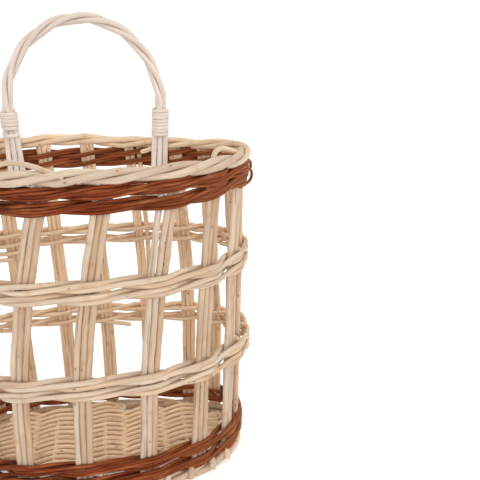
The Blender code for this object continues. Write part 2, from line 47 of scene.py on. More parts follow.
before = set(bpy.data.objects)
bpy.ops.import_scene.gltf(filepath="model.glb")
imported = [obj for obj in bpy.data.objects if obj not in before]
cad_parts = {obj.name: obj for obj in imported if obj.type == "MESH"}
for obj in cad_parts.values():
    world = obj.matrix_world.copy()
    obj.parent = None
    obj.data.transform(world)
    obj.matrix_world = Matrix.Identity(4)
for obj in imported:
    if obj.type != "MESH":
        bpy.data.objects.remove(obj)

BODY = "root"
UP = Vector((0, 0, 1))

# The part stands over the middle of its plan, so its plan's zero lies here
PLAN_ZERO = Vector((0.0000218, 0.0202006, 0))
CLEARANCE = 0.0003

# Plan of the stake line
TOP_HALF_WIDTH = 0.1462
FOOT_HALF_WIDTH = 0.1370
TOP_FRONT_DEPTH = 0.0975
FOOT_FRONT_DEPTH = 0.0910
BACK_DEPTH = 0.0565
FRONT_POWER = 2.13
BACK_POWER = 2.55
FLARE_POWER = 0.5
OUTLINE_STEPS = 720

# Heights
UPPER_WALE_HEIGHT = 0.2792
UPPER_BAND_HEIGHT = 0.2007
LOWER_BAND_HEIGHT = 0.1128
RIM_HEIGHT = 0.2967
FOOT_HEIGHT = 0.0053

# Stakes: where each stands and ends, as shares of the outline from the middle of the front
STAKE_FOOT = 0.0120
STAKE_TOP = 0.2892
STAKE_LEVELS = (STAKE_FOOT, LOWER_BAND_HEIGHT, UPPER_BAND_HEIGHT, STAKE_TOP)
STAKE_LEAN_POWER = 2.0
STAKE_FOOT_SHARES = (
    -0.018, 0.064, 0.137, 0.195, 0.240, 0.278,
    0.320, 0.363, 0.424, 0.483, 0.542, 0.602,
    0.652, 0.702, 0.752, 0.804, 0.856, 0.907,
)
STAKE_TOP_SHARES = (
    0.027, 0.101, 0.161, 0.215, 0.262, 0.304,
    0.342, 0.383, 0.440, 0.498, 0.553, 0.609,
    0.664, 0.716, 0.770, 0.826, 0.886, 0.959,
)
STAKES = len(STAKE_FOOT_SHARES)
STAKE_SPACING = 0.93

# A stake's rods end inside the foot border and inside the rim border
ROD_HEIGHTS = (FOOT_HEIGHT + 0.003, *STAKE_LEVELS[:3], STAKE_TOP - 0.004, RIM_HEIGHT - 0.002)

# Rods that fan out from their stake above the lower band: stake and place, distance, and the
# share of it at each height
STAKE_FANS = {(1, -1): -0.0026, (8, -1): -0.0026, (4, 1): 0.0008}
FAN_SHARES = ((LOWER_BAND_HEIGHT, 0), (UPPER_BAND_HEIGHT, 0.6), (STAKE_TOP, 1))

# How far the right end of the real basket was drawn in at each height, and the share of the
# half width past which that shows
RIGHT_END = (
    (0.0120, 0.0010), (0.1128, 0.0036), (0.2007, 0.0044), (0.2892, 0.0034), (0.2967, 0.0012),
)
RIGHT_END_START = 0.6

# Rods thin out from the front of the basket to its back wall
FRONT_Y = -0.06
BACK_Y = 0.07
FRONT_THICKNESS = 1.03
BACK_THICKNESS = 0.85
BACK_WOVEN_THICKNESS = 0.90

# Weave
WALE_ROWS = 2
WALE_WEAVERS = 3
WALE_CORNER_SHARE = 1.3
WALE_REACH_SHARE = 1.0
WALE_BULGE = 0.6

# Lift of a weaver, in half its height, before a stake, after it and half way to the next one:
# where it goes behind the stake, then in front of the first and the second
WALE_LIFTS = ((0.35, -0.35, -1), (-1, -0.8, 0), (0.8, 1, 1))

# X between which the slack and the closing up of the right end grow
SLACK_REACH = (0.118, 0.140)
GATHER_REACH = (0.08, 0.14)

# Sway of the rows and roll of the pairs; slices keep the noise of each band, row and pair apart
ROW_SWAY = 0.0014
ROW_SWAY_WAVES = 16
BAND_SLICE = 90
ROW_SLICE = 4.7
DYED_PAIR_HEIGHT = 0.0057
PAIR_ROLL = 0.9
PAIR_ROLL_WAVES = 0.02
PAIR_SLICE = 5.3
PAIR_EARLY_END = 3

# Distance between the points of a route
ROUTE_STEP = 0.003
STAKE_STEP = 0.01
FINE_STEP = 0.0015

# Bands and wales: name, stake that the first weaver starts at, height, pitch of the rows at the
# front and the back, slack at the right end, rise to the back wall, share by which the lower row
# closes up to the upper one at the right end, and seed
BAND_PITCH = (0.0102, 0.0104)
BANDS = (
    ("upper_band", 3, UPPER_BAND_HEIGHT, BAND_PITCH, 0.0010, 0.0010, 0, 431),
    ("lower_band", 3, LOWER_BAND_HEIGHT - 0.0018, BAND_PITCH, 0.0038, 0.0034, 0, 341),
)
WALES = (
    ("upper_wale", 3, UPPER_WALE_HEIGHT, (0.0128, 0.0092), 0.0010, 0.0008, 0.30, 330),
    ("lower_wale", 4, 0.0238, (0.0142, 0.0092), 0.0003, -0.0005, 0, 340),
)

# How far the rim rises or sinks along the back wall: X and height
RIM_SWAY = (
    (-0.1500, 0.0000), (-0.0700, 0.0000), (-0.0300, 0.0014), (-0.0040, 0.0016), (0.0240, -0.0011),
    (0.0380, -0.0033), (0.0900, -0.0040), (0.1110, -0.0046), (0.1310, -0.0036), (0.1500, -0.0030),
)
ROPE_RODS = 3
ROPE_TURNS = 6
ROPE_TURN_STEPS = 40
ROPE_RUN = 0.999
RIM_JOINT_SHARE = 0.62
FOOT_JOINT_SHARE = 0.385

# Handle; the last three are the part's, and set how far its legs lie inside the rim
HANDLE_HALF_WIDTH = 0.0700
HANDLE_OFFSET = 0.0030
HANDLE_TOP = 0.4155
HANDLE_SPRING = 0.3320
HANDLE_LEG_FOOT = 0.2340
HANDLE_LEG_INSET = 0.0050
HANDLE_CROWN = 0.005
HANDLE_START_ANGLE = math.pi / 6
HANDLE_TURNS = 7 / 3
ARCH_STEPS = 56
LEG_HALF_WIDTH = 0.0049
PART_RIM_RADIUS = 0.00727
PART_HANDLE_ROD = 0.0043

# From a leg's foot up: height, share by which its rods lie side by side, and their spacing
HANDLE_LEG = (
    (HANDLE_LEG_FOOT, 1, 1.12), (0.262, 1, 1.1), (0.286, 1, 1.05), (0.2955, 1, 1.02),
    (0.304, 0.95, 1), (0.3150, 0.75, 1), (0.3250, 0.35, 1),
)

# Lashings: name, side, height of the lowest loop, loops and seed
LASHINGS = (
    ("lashing_right", 1, 0.3022, 8, 3722),
    ("lashing_left", -1, 0.3119, 5.2, 3819),
    ("tie_left", -1, 0.3050, 1.3, 3750),
)
COIL_RADII = (0.0074, 0.0062)
COIL_SLANT = 0.0006
COIL_PITCH = 0.0032
COIL_STEPS = 36
COIL_TUCK = 0.84
COIL_TUCK_STEPS = 9

# Base
BASE_STICK_SHARES = (-0.69, -0.35, 0.04, 0.35, 0.69)
BASE_INSET = 0.0160
BASE_OVERHANG = 0.0045
BASE_LEVEL = 0.0144
BASE_BACK_ROOM = 0.004
BASE_FRONT_ROOM = 0.002
STICK_END_LEVEL = 0.0098
STICK_BEND = 0.012
TWINE_STEP = 0.004
TWINE_FADE = 0.012

# Camera, as fitted to the photograph
CAMERA_PLACE = (0.0325, -0.6652, 0.4366)
CAMERA_YAW = 0.159
CAMERA_PITCH = 0.320
CAMERA_LENS = 57.19
SENSOR = 36

# Light: the world's strength, and each soft box's place, power and size
WORLD_LIGHT = 0.70
SOFT_BOXES = (
    ("soft_box_front", (-0.4, -1.8, 0.75), 14, 1.4),
    ("soft_box_top", (0.2, 0.2, 1.9), 9, 1.6),
    ("soft_box_right", (1.6, -0.7, 0.9), 7, 1.2),
)
LIGHT_AIM = Vector((0, 0, 0.18))
FLOOR_GLOW = 0.35

# Floor that rises behind in one sweep
FLOOR_REACH = 4.0
SWEEP_START = 1.6
SWEEP_RADIUS = 0.8
SWEEP_STEPS = 12
BACKDROP_TOP = 3.5


def from_hex(code):
    """Linear colour from an sRGB hex value."""
    channels = []
    for start in (0, 2, 4):
        share = int(code[start:start + 2], 16) / 255
        linear = share / 12.92 if share <= 0.04045 else ((share + 0.055) / 1.055) ** 2.4
        channels.append(linear)
    return (*channels, 1.0)


def thickness(name, default, description):
    return FloatProperty(
        name=name, description=description, default=default, subtype="DISTANCE", unit="LENGTH",
    )


def colour(name, default, description):
    return FloatVectorProperty(
        name=name, description=description, default=from_hex(default), size=4, subtype="COLOR",
    )


class PlanterRods(bpy.types.PropertyGroup):
    """Thicknesses of the rods and how far they stray from a perfect lay."""

    natural_rod: thickness("Natural rod", 0.0046, "Thickness of the peeled weavers")
    dyed_rod: thickness("Dyed rod", 0.0030, "Thickness of one rod of each dyed pair")
    front_stake_rod: thickness(
        "Front stake rod", 0.0056, "Thickness of each of a front stake's rods"
    )
    back_stake_rod: thickness("Back stake rod", 0.0046, "Thickness of each of a back stake's rods")
    rim_rod: thickness("Rim rod", 0.0061, "Thickness of the rods of the rim border")
    foot_rod: thickness("Foot rod", 0.0064, "Thickness of the rods of the foot border")
    handle_rod: thickness("Handle rod", 0.0050, "Thickness of the handle's three rods")
    base_stick: thickness("Base stick", 0.0046, "Thickness of the sticks under the base weave")
    base_rod: thickness("Base rod", 0.0042, "Thickness of the twined rods of the base")
    cane_width: thickness("Cane width", 0.0031, "Width of the flat cane of the lashings")
    cane_thickness: thickness(
        "Cane thickness", 0.0015, "Thickness of the flat cane of the lashings"
    )
    wander: thickness("Wander", 0.0006, "How far a rod strays from its route")
    unevenness: FloatProperty(
        name="Unevenness", description="Share by which a rod's thickness varies",
        default=0.07, subtype="FACTOR", min=0, max=0.5,
    )
    sides: IntProperty(
        name="Sides", description="Corners of a rod's section", default=12, min=6, max=32,
    )


class PlanterColours(bpy.types.PropertyGroup):
    """Colours of the finishes."""

    stake_pale: colour("Stake, pale", "D1BFAB", "The lighter rods of the stakes")
    stake_dull: colour("Stake, dull", "BFA388", "The duller rods of the stakes")
    band_pale: colour("Band, pale", "D7C6B1", "The lightest peeled weavers")
    band_rose: colour("Band, rose", "C7AC90", "Weavers that dried with a rosy tone")
    rim_pale: colour("Rim, pale", "CFBDA8", "The lighter rods of the rim border")
    rim_dull: colour("Rim, dull", "9E826A", "The rosy grey rods of the rim border")
    # Towards the back wall this tone is also painted light, standing in for warm light bounced
    # inside the basket
    honey: colour("Honey", "FFE0BC", "Warm tone of the rods at the wall and base")
    fibre: colour("Fibre", "B08155", "Darker fibres along the peeled rods")
    bark: colour("Bark", "65432B", "Specks and strips of bark left on the rods")
    dyed: colour("Dyed", "8A3C17", "Chestnut dye, where it took evenly")
    # Its streaks along the rods are also painted shade, drawn wide to stand for the dark gaps
    # between thin rods
    dyed_grain_and_gap_shade: colour("Dyed, dark", "240600", "Dye that gathered in the grain")
    # Also painted light: mixed in towards the back wall and the right end, for how light falls
    # there
    dyed_rubbed_and_lit: colour("Dyed, light", "B56C40", "Rubbed places where the wood shows through")
    # Painted light: the cane is drawn this pale low on the legs, lifting them out of the shade
    # they lie in
    cane: colour("Cane", "F8EDE4", "Pale cane of the legs, inside the basket")
    # Painted shade: the arch's top is drawn in this greyer, darker tone for how light falls there
    cane_top: colour("Cane, top", "D6C7BB", "Cane at the top of the arch, greyed by hands")
    cane_shade: colour("Cane, shade", "D2C0B2", "Darker fibres of the pale cane")
    backdrop: colour("Backdrop", "F4F2EF", "Floor and backdrop")


# Node trees
MATH = "ShaderNodeMath"
VECTOR_MATH = "ShaderNodeVectorMath"
COMBINE = "ShaderNodeCombineXYZ"
SEPARATE = "ShaderNodeSeparateXYZ"
NOISE = "ShaderNodeTexNoise"
MAP_RANGE = "ShaderNodeMapRange"
MIX = "ShaderNodeMix"


def output(value):
    """The socket that a node stands for, which is the first that its settings leave in use."""
    if isinstance(value, bpy.types.Node):
        return next(socket for socket in value.outputs if socket.enabled)
    return value


def add(tree, kind, inputs=(), **settings):
    """Add a node with its settings and links.

    Its inputs are values, sockets or nodes, either by name or number or in the node's order,
    which for Map Range is the value, then the ends of its range, then what they turn to.
    """
    node = tree.nodes.new(kind)
    for key, value in settings.items():
        setattr(node, key, value)
    for key, value in inputs.items() if isinstance(inputs, dict) else enumerate(inputs):
        value = output(value)
        if isinstance(value, bpy.types.NodeSocket):
            tree.links.new(value, node.inputs[key])
        else:
            node.inputs[key].default_value = value
    return node


ROD_INPUTS = {
    "Width": 0.0046, "Thickness": 0.0046, "Sides": 12, "Step": 0.0025, "Wander": 0.0004,
    "Unevenness": 0.06, "Knot spacing": 0.09, "Knot height": 0.08, "Front share": 1.0,
    "Back share": 1.0, "Slant": 0.6, "Seed": 0,
}

# Waves of a rod's noise in a metre, and what makes a noise's swing about as large as named
WANDER_WAVES = 22.0
GROWTH_WAVES = 55.0
GROWTH_SLICE = 7.0
NOISE_GAIN = 4.0

# A rod's lot, from 0 to 1, sets its noise, its grain and its knife cut apart from the others'
LOT_IN_NOISE = 40.0
LOT_IN_GRAIN = 10.0
LOT_IN_CUT = 37.0

KNOT_REACH = 0.0035
WORN_END = 0.0009
WORN_SHARE = 0.84
CANE_EDGE_SHARE = 0.42
CUT_LENGTH = 1.6
LEAST_CUT = 0.0001


@lru_cache(maxsize=None)
def rod_tree(flat):
    """Rods, or flat cane, along each strip of edges, with their own straightened coordinates."""
    tree = bpy.data.node_groups.new("Flat cane" if flat else "Round rods", "GeometryNodeTree")
    node = partial(add, tree)
    socket = tree.interface.new_socket
    socket("Route", in_out="INPUT", socket_type="NodeSocketGeometry")
    for label, value in ROD_INPUTS.items():
        kind = "NodeSocketInt" if isinstance(value, int) else "NodeSocketFloat"
        socket(label, in_out="INPUT", socket_type=kind).default_value = value
    socket("Finish", in_out="INPUT", socket_type="NodeSocketMaterial")
    socket("Rods", in_out="OUTPUT", socket_type="NodeSocketGeometry")
    given = node("NodeGroupInput").outputs

    # Even points along each route, each rod with a random number of its own
    strips = node("GeometryNodeMeshToCurve", (given["Route"],))
    even = node(
        "GeometryNodeResampleCurve", {"Curve": strips, "Length": given["Step"]}, mode="LENGTH",
    )
    run = node("GeometryNodeSplineParameter").outputs["Length"]
    whole = node("GeometryNodeSplineLength")
    which = node("GeometryNodeCurveOfPoint")
    lot = node("FunctionNodeRandomValue", {"ID": which, "Seed": given["Seed"]}, data_type="FLOAT")
    lot_far = node(MATH, (lot, LOT_IN_NOISE), operation="MULTIPLY")

    # Slow wander of the rod's line
    slow = node(MATH, (run, WANDER_WAVES), operation="MULTIPLY")
    drift_at = node(COMBINE, (slow, lot_far))
    drift = node(NOISE, {"Vector": drift_at, "Scale": 1.0, "Detail": 1.0}).outputs["Color"]
    centred = node(VECTOR_MATH, (drift, (0.5, 0.5, 0.5)), operation="SUBTRACT")
    reach = node(MATH, (given["Wander"], NOISE_GAIN), operation="MULTIPLY")
    shift = node(VECTOR_MATH, {0: centred, "Scale": reach}, operation="SCALE")
    line = node("GeometryNodeSetPosition", {"Geometry": even, "Offset": shift})
    if flat:
        line = node("GeometryNodeSetCurveNormal", (line,), mode="Z_UP")

    # Thickness: uneven growth, a swelling at each knot, softened ends, thinner rods at the wall
    growth_run = node(MATH, (run, GROWTH_WAVES), operation="MULTIPLY")
    growth_at = node(COMBINE, (growth_run, lot_far, GROWTH_SLICE))
    growth = node(NOISE, {"Vector": growth_at, "Scale": 1.0, "Detail": 2.0})
    swing = node(MATH, (growth, 0.5), operation="SUBTRACT")
    uneven = node(MATH, (given["Unevenness"], NOISE_GAIN), operation="MULTIPLY")
    grown = node(MATH, (swing, uneven, 1.0), operation="MULTIPLY_ADD")
    knot_run = node(MATH, (run, given["Knot spacing"]), operation="DIVIDE")
    knot_at = node(MATH, (knot_run, lot_far), operation="ADD")
    nearest = node("ShaderNodeTexVoronoi", {"W": knot_at, "Scale": 1.0}, voronoi_dimensions="1D")
    knot_reach = node(MATH, (KNOT_REACH, given["Knot spacing"]), operation="DIVIDE")
    knot = node(
        MAP_RANGE, (nearest, 0.0, knot_reach, 1.0, 0.0), interpolation_type="SMOOTHSTEP",
    )
    swollen = node(MATH, (knot, given["Knot height"], grown), operation="MULTIPLY_ADD")
    left = node(MATH, (whole, run), operation="SUBTRACT")
    from_end = node(MATH, (run, left), operation="MINIMUM")
    worn = node(MAP_RANGE, (from_end, 0.0, WORN_END, WORN_SHARE, 1.0))
    ended = node(MATH, (swollen, worn), operation="MULTIPLY")
    here = node("GeometryNodeInputPosition")
    depth = node(SEPARATE, (here,)).outputs["Y"]
    share = node(MAP_RANGE, (depth, FRONT_Y, BACK_Y, given["Front share"], given["Back share"]))
    scale = node(MATH, (ended, share), operation="MULTIPLY")

    # Section
    if flat:
        slab = node(
            "GeometryNodeCurvePrimitiveQuadrilateral",
            {"Width": given["Thickness"], "Height": given["Width"]},
        )
        edge = node(MATH, (given["Thickness"], CANE_EDGE_SHARE), operation="MULTIPLY")
        section = node(
            "GeometryNodeFilletCurve", {"Curve": slab, "Count": 3, "Radius": edge}, mode="POLY",
        )
    else:
        half = node(MATH, (given["Width"], 0.5), operation="MULTIPLY")
        section = node(
            "GeometryNodeCurvePrimitiveCircle", {"Resolution": given["Sides"], "Radius": half},
            mode="RADIUS",
        )

    # What each point of the surface keeps from its rod and its section
    along = node(MATH, (lot, LOT_IN_GRAIN, run), operation="MULTIPLY_ADD")
    heading = node("GeometryNodeInputTangent")
    line = node("GeometryNodeCaptureAttribute", (line,))
    section = node("GeometryNodeCaptureAttribute", (section,))
    for keeper, label, kind, source in (
        (line, "Along", "FLOAT", along), (line, "Lot", "FLOAT", lot),
        (line, "Knot", "FLOAT", knot), (line, "End", "FLOAT", from_end),
        (line, "Heading", "VECTOR", heading), (section, "Across", "VECTOR", here),
    ):
        keeper.capture_items.new(kind, label)
        tree.links.new(output(source), keeper.inputs[label])
    kept, across = line.outputs, section.outputs["Across"]
    tube = node(
        "GeometryNodeCurveToMesh",
        {"Curve": line, "Profile Curve": section, "Scale": scale, "Fill Caps": True},
    )

    # Slanted knife cuts at the ends
    turn = node(MATH, (kept["Lot"], LOT_IN_CUT), operation="MULTIPLY")
    turn_x = node(MATH, (turn,), operation="COSINE")
    turn_y = node(MATH, (turn,), operation="SINE")
    knife = node(COMBINE, (turn_x, turn_y))
    side = node(VECTOR_MATH, (across, knife), operation="DOT_PRODUCT")
    cut_reach = node(MATH, (given["Width"], given["Slant"]), operation="MULTIPLY")
    cut_length = node(MATH, (cut_reach, CUT_LENGTH, LEAST_CUT), operation="MULTIPLY_ADD")
    near_end = node(MAP_RANGE, (kept["End"], 0.0, cut_length, 1.0, 0.0))
    lean = node(MATH, (side, given["Slant"]), operation="MULTIPLY")
    push = node(MATH, (lean, near_end), operation="MULTIPLY")
    shear = node(VECTOR_MATH, {0: kept["Heading"], "Scale": push}, operation="SCALE")
    rods = node("GeometryNodeSetPosition", {"Geometry": tube, "Offset": shear})

    # The rod as if laid straight: across its section in X and Y, along its length in Z
    flat_place = node(SEPARATE, (across,)).outputs
    straight = node(COMBINE, (flat_place["X"], flat_place["Y"], kept["Along"]))
    for label, kind, source in (
        ("rod_place", "FLOAT_VECTOR", straight), ("rod_lot", "FLOAT", kept["Lot"]),
        ("rod_knot", "FLOAT", kept["Knot"]),
    ):
        rods = node(
            "GeometryNodeStoreNamedAttribute",
            {"Geometry": rods, "Name": label, "Value": source}, data_type=kind, domain="POINT",
        )
    rods = node("GeometryNodeSetShadeSmooth", (rods,))
    rods = node("GeometryNodeRealizeInstances", (rods,))
    rods = node("GeometryNodeSetMaterial", {"Geometry": rods, "Material": given["Finish"]})
    node("NodeGroupOutput", (rods,))
    return tree


# Finishes: the range that a noise mostly keeps to, the cells of the specks of bark in a metre
# across and along a rod, how much the right end of the dyed rods is painted lighter next to the
# wall, and where the painted shade towards the top of the cane's arch starts
NOISE_RANGE = (0.3, 0.7)
SPECK_CELLS = (140.0, 140.0, 55.0)
RIGHT_END_PAINTED_LIGHT = 0.8
CANE_PAINTED_SHADE_START = RIM_HEIGHT - 0.01


def new_finish(name):
    material = bpy.data.materials.new(name)
    material.use_nodes = True
    material.node_tree.nodes.clear()
    return material, material.node_tree


def rod_finish(name):
    """A finish, and where its points are: on the straight rod, in the basket, lot and knot."""
    material, tree = new_finish(name)
    place, lot, knot = (
        add(tree, "ShaderNodeAttribute", attribute_name=label).outputs[socket]
        for label, socket in (("rod_place", "Vector"), ("rod_lot", "Fac"), ("rod_knot", "Fac"))
    )
    spot = add(tree, "ShaderNodeTexCoord").outputs["Object"]
    return material, tree, place, add(tree, SEPARATE, (spot,)).outputs, lot, knot


def fibre_pattern(tree, place, across, along, detail):
    """Fibres that run along the rod: across and along are their size in metres."""
    stretch = {"Vector": place, "Scale": (1 / across, 1 / across, 1 / along)}
    fibres = {"Vector": add(tree, "ShaderNodeMapping", stretch), "Scale": 1.0}
    return add(tree, NOISE, {**fibres, "Detail": detail, "Roughness": 0.6})


def stained(tree, tone, *stains):
    """The tone under its stains.

    Each has a colour, a pattern, where in that it starts and is full, and the share it covers.
    """
    for stain, pattern, start, full, most in stains:
        share = add(tree, MAP_RANGE, (pattern, start, full, 0.0, most))
        tone = add(tree, MIX, {0: share, 6: tone, 7: stain}, data_type="RGBA")
    return tone


def close_finish(tree, tone, fibres, depth, roughness, specular, glow=(0.0, (1.0, 1.0, 1.0))):
    """Fibres raised by a depth in metres, each with its roughness, and the shader.

    Glow is the share of light that goes some 2 mm deep, and how far each colour of it goes.
    """
    rough = add(tree, MAP_RANGE, (fibres, *NOISE_RANGE, *roughness))
    bump = add(tree, "ShaderNodeBump", {"Height": fibres, "Distance": depth, "Strength": 1.0})
    shader = add(tree, "ShaderNodeBsdfPrincipled", {
        "Base Color": tone, "Roughness": rough, "Normal": bump, "IOR": 1.5,
        "Specular IOR Level": specular, "Subsurface Weight": glow[0],
        "Subsurface Radius": glow[1], "Subsurface Scale": 0.002,
    })
    add(tree, "ShaderNodeOutputMaterial", {"Surface": shader})


def peeled_willow(name, light, dull, colours, honey_and_bounce_shares, speckle):
    """Peeled willow, boiled and dried: matt and fibrous, each rod with a tone of its own."""
    material, tree, place, spot, lot, knot = rod_finish(name)

    # Fibres are drawn about 1 mm wide, coarser than the real 0.2 mm, so that they show
    fibres = fibre_pattern(tree, place, 0.0010, 0.030, 3.0)
    patches = fibre_pattern(tree, place, 0.012, 0.045, 2.0)
    strips = fibre_pattern(tree, place, 0.0022, 0.070, 1.0)
    splices = fibre_pattern(tree, place, 0.10, 0.16, 0.0)

    # Tone changes from rod to rod, and where one weaver was spliced to the next
    spliced = add(tree, MAP_RANGE, (splices, 0.40, 0.60, -0.4, 0.4))
    lean = add(tree, MATH, (lot, spliced), operation="ADD", use_clamp=True)
    tone = add(tree, MIX, {0: lean, 6: light, 7: dull}, data_type="RGBA")

    # Painted light: the rods are drawn warmer and lighter towards the back wall, standing in for
    # the warm light bounced round inside the basket
    wall = add(
        tree, MAP_RANGE, (spot["Y"], FRONT_Y, BACK_Y, *honey_and_bounce_shares), interpolation_type="SMOOTHSTEP",
    )
    spread = add(tree, MAP_RANGE, (patches, *NOISE_RANGE, -0.25, 0.25))
    honey = add(tree, MATH, (wall, spread), operation="ADD", use_clamp=True)
    tone = add(tree, MIX, {0: honey, 6: tone, 7: colours.honey}, data_type="RGBA")

    # Fibres, strips and specks of bark that the peeling left, and a ring at each knot
    cells = add(tree, "ShaderNodeMapping", {"Vector": place, "Scale": SPECK_CELLS})
    specks = add(tree, "ShaderNodeTexVoronoi", {"Vector": cells, "Scale": 1.0})
    tone = stained(
        tree, tone,
        (colours.fibre, fibres, 0.46, 0.75, 0.5),
        (colours.bark, strips, 0.64, 0.70, speckle),
        (colours.bark, specks, 0.12, 0.05, 0.75),
        (colours.fibre, knot, 0.0, 1.0, 0.35),
    )
    close_finish(tree, tone, fibres, 0.0003, (0.58, 0.75), 0.3, (0.12, (1.0, 0.6, 0.35)))
    return material


def dyed_willow(name, colours):
    """Willow dyed chestnut in a hot bath: darker in the grain, with painted shade there for the
    gaps between thin rods, rubbed lighter on top, waxed, and painted lighter towards the back wall
    and the right end for how light falls there.
    """
    material, tree, place, spot, lot, _ = rod_finish(name)
    fibres = fibre_pattern(tree, place, 0.0012, 0.040, 3.0)
    patches = fibre_pattern(tree, place, 0.006, 0.030, 2.0)

    # Painted light: the dyed rods are drawn lighter towards the back wall and the right end, where
    # light falls on them more
    right = add(tree, MATH, (spot["X"], 0.0), operation="MAXIMUM")
    far = add(tree, MATH, (right, RIGHT_END_PAINTED_LIGHT, spot["Y"]), operation="MULTIPLY_ADD")
    tone = stained(
        tree, colours.dyed,
        # Painted shade: these dark streaks are partly dye gathered in the grain and partly the
        # shade in the gaps between thin rods
        (colours.dyed_grain_and_gap_shade, fibres, 0.42, 0.64, 0.92),
        (colours.dyed_grain_and_gap_shade, lot, 0.0, 1.0, 0.35),
        (colours.dyed_rubbed_and_lit, patches, 0.5, 0.75, 0.75),
        (colours.dyed_rubbed_and_lit, far, FRONT_Y, BACK_Y, 0.33),
    )
    close_finish(tree, tone, fibres, 0.0004, (0.40, 0.58), 0.15)
    return material


def pale_cane(name, colours):
    """Smooth rattan cane: even, close grained, with a faint satin skin; painted paler low on the
    legs and greyer and darker towards the arch's top, for how light falls there.
    """
    material, tree, place, spot, *_ = rod_finish(name)
    fibres = fibre_pattern(tree, place, 0.0012, 0.030, 2.0)
    patches = fibre_pattern(tree, place, 0.010, 0.050, 2.0)
    tone = stained(
        tree, colours.cane,
        # Painted light and shade: paler low on the legs, darker towards the arch's top
        (colours.cane_top, spot["Z"], CANE_PAINTED_SHADE_START, HANDLE_TOP, 1.0),
        (colours.cane_shade, fibres, 0.45, 0.75, 0.55),
        (colours.band_rose, patches, 0.45, 0.75, 0.4),
    )
    close_finish(tree, tone, fibres, 0.0002, (0.45, 0.6), 0.3, (0.2, (1.0, 0.6, 0.4)))
    return material


# Peeled finishes: their two tones, their share of the honey tone at the front and at the wall,
# where a rise towards the wall is painted warm bounce light, and their bark
PEELED = {
    "peeled_willow_stakes": ("stake_pale", "stake_dull", (0.0, 0.8), 0.5),
    "peeled_willow": ("band_pale", "band_rose", (0.05, 0.7), 0.25),
    "peeled_willow_rim": ("rim_pale", "rim_dull", (0.0, 0.62), 0.25),
    "peeled_willow_base": ("band_pale", "band_rose", (0.85, 0.85), 0.3),
}


@lru_cache(maxsize=None)
def finish(name):
    """The finish of that name, made once."""
    colours = bpy.context.scene.planter_colours
    if name == "chestnut_dyed_willow":
        return dyed_willow(name, colours)
    if name == "pale_cane":
        return pale_cane(name, colours)
    light, dull, honey_and_bounce_shares, speckle = PEELED[name]
    tones = getattr(colours, light), getattr(colours, dull)
    return peeled_willow(name, *tones, colours, honey_and_bounce_shares, speckle)


# The plan of the basket, as the part has it
def eased(value, low, high):
    """0 up to low, 1 from high on, smooth between."""
    part = min(1, max(0, (value - low) / (high - low)))
    return part * part * (3 - 2 * part)


def from_table(table, value):
    """A value read from pairs, smooth from one to the next."""
    for (left, low), (right, high) in zip(table, table[1:]):
        if value <= right:
            return low + (high - low) * eased(value, left, right)
    return table[-1][1]


@lru_cache(maxsize=None)
def outline(height):
    """Points of the stake line at one height, with the length run up to each."""
    rise = max(0, height - STAKE_FOOT) / (STAKE_TOP - STAKE_FOOT)
    half_width = FOOT_HALF_WIDTH + (TOP_HALF_WIDTH - FOOT_HALF_WIDTH) * rise ** FLARE_POWER
    front_depth = FOOT_FRONT_DEPTH + (TOP_FRONT_DEPTH - FOOT_FRONT_DEPTH) * rise
    points = []
    for step in range(OUTLINE_STEPS + 1):
        angle = 2 * math.pi * step / OUTLINE_STEPS
        across, along = math.sin(angle), -math.cos(angle)
        power, depth = (FRONT_POWER, front_depth) if along < 0 else (BACK_POWER, BACK_DEPTH)
        x = math.copysign(abs(across) ** (2 / power), across) * half_width
        y = math.copysign(abs(along) ** (2 / power), along) * depth
        points.append(Vector((x, y, height)) + PLAN_ZERO)
    lengths = [0]
    for before, after in zip(points, points[1:]):
        lengths.append(lengths[-1] + (after - before).length)
    drawn_in = from_table(RIGHT_END, height)
    for point in points:
        point.x -= drawn_in * eased(point.x, RIGHT_END_START * half_width, half_width)
    return points, lengths


def outline_point(share, height):
    points, lengths = outline(height)
    target = (share % 1) * lengths[-1]
    high = min(bisect_right(lengths, target), OUTLINE_STEPS)
    low = high - 1
    part = (target - lengths[low]) / (lengths[high] - lengths[low])
    return points[low].lerp(points[high], part)


def wall_frame(share, height):
    """Centre, direction along the wall and outward direction at one place."""
    step = 1 / OUTLINE_STEPS
    along = outline_point(share + step, height) - outline_point(share - step, height)
    along.normalize()
    return outline_point(share, height), along, along.cross(UP)


def stake_share(stake, height):
    """Share of the outline run up to a stake, which leans as it rises."""
    turn, stake = divmod(stake, STAKES)
    foot, top = STAKE_FOOT_SHARES[stake], STAKE_TOP_SHARES[stake]
    rise = (height - STAKE_FOOT) / (STAKE_TOP - STAKE_FOOT)
    return turn + foot + (top - foot) * rise ** STAKE_LEAN_POWER


@lru_cache(maxsize=None)
def stake_level(stake, height):
    centre, along, _ = wall_frame(stake_share(stake, height), height)
    return centre, along


def stake_frame(stake, height):
    """Centre, direction along the wall and outward direction of a stake."""
    inside = min(max(height, STAKE_FOOT), STAKE_TOP)
    above = next(level for level in STAKE_LEVELS[1:] if inside <= level)
    below = STAKE_LEVELS[STAKE_LEVELS.index(above) - 1]
    part = (height - below) / (above - below)
    low_centre, low_along = stake_level(stake, below)
    high_centre, high_along = stake_level(stake, above)
    along = low_along.lerp(high_along, part).normalized()
    return low_centre.lerp(high_centre, part), along, along.cross(UP)


def stake_rod(stake):
    """Thickness of a stake's rods, which thin out from the front to the back wall."""
    rods = bpy.context.scene.planter_rods
    share = (1 - math.cos(2 * math.pi * STAKE_FOOT_SHARES[stake])) / 2
    return rods.front_stake_rod + (rods.back_stake_rod - rods.front_stake_rod) * share


def thickness_share(y, back=BACK_THICKNESS):
    """How thick a rod is at one depth, next to its thickness as named."""
    part = min(1, max(0, (y - FRONT_Y) / (BACK_Y - FRONT_Y)))
    return FRONT_THICKNESS + (back - FRONT_THICKNESS) * part


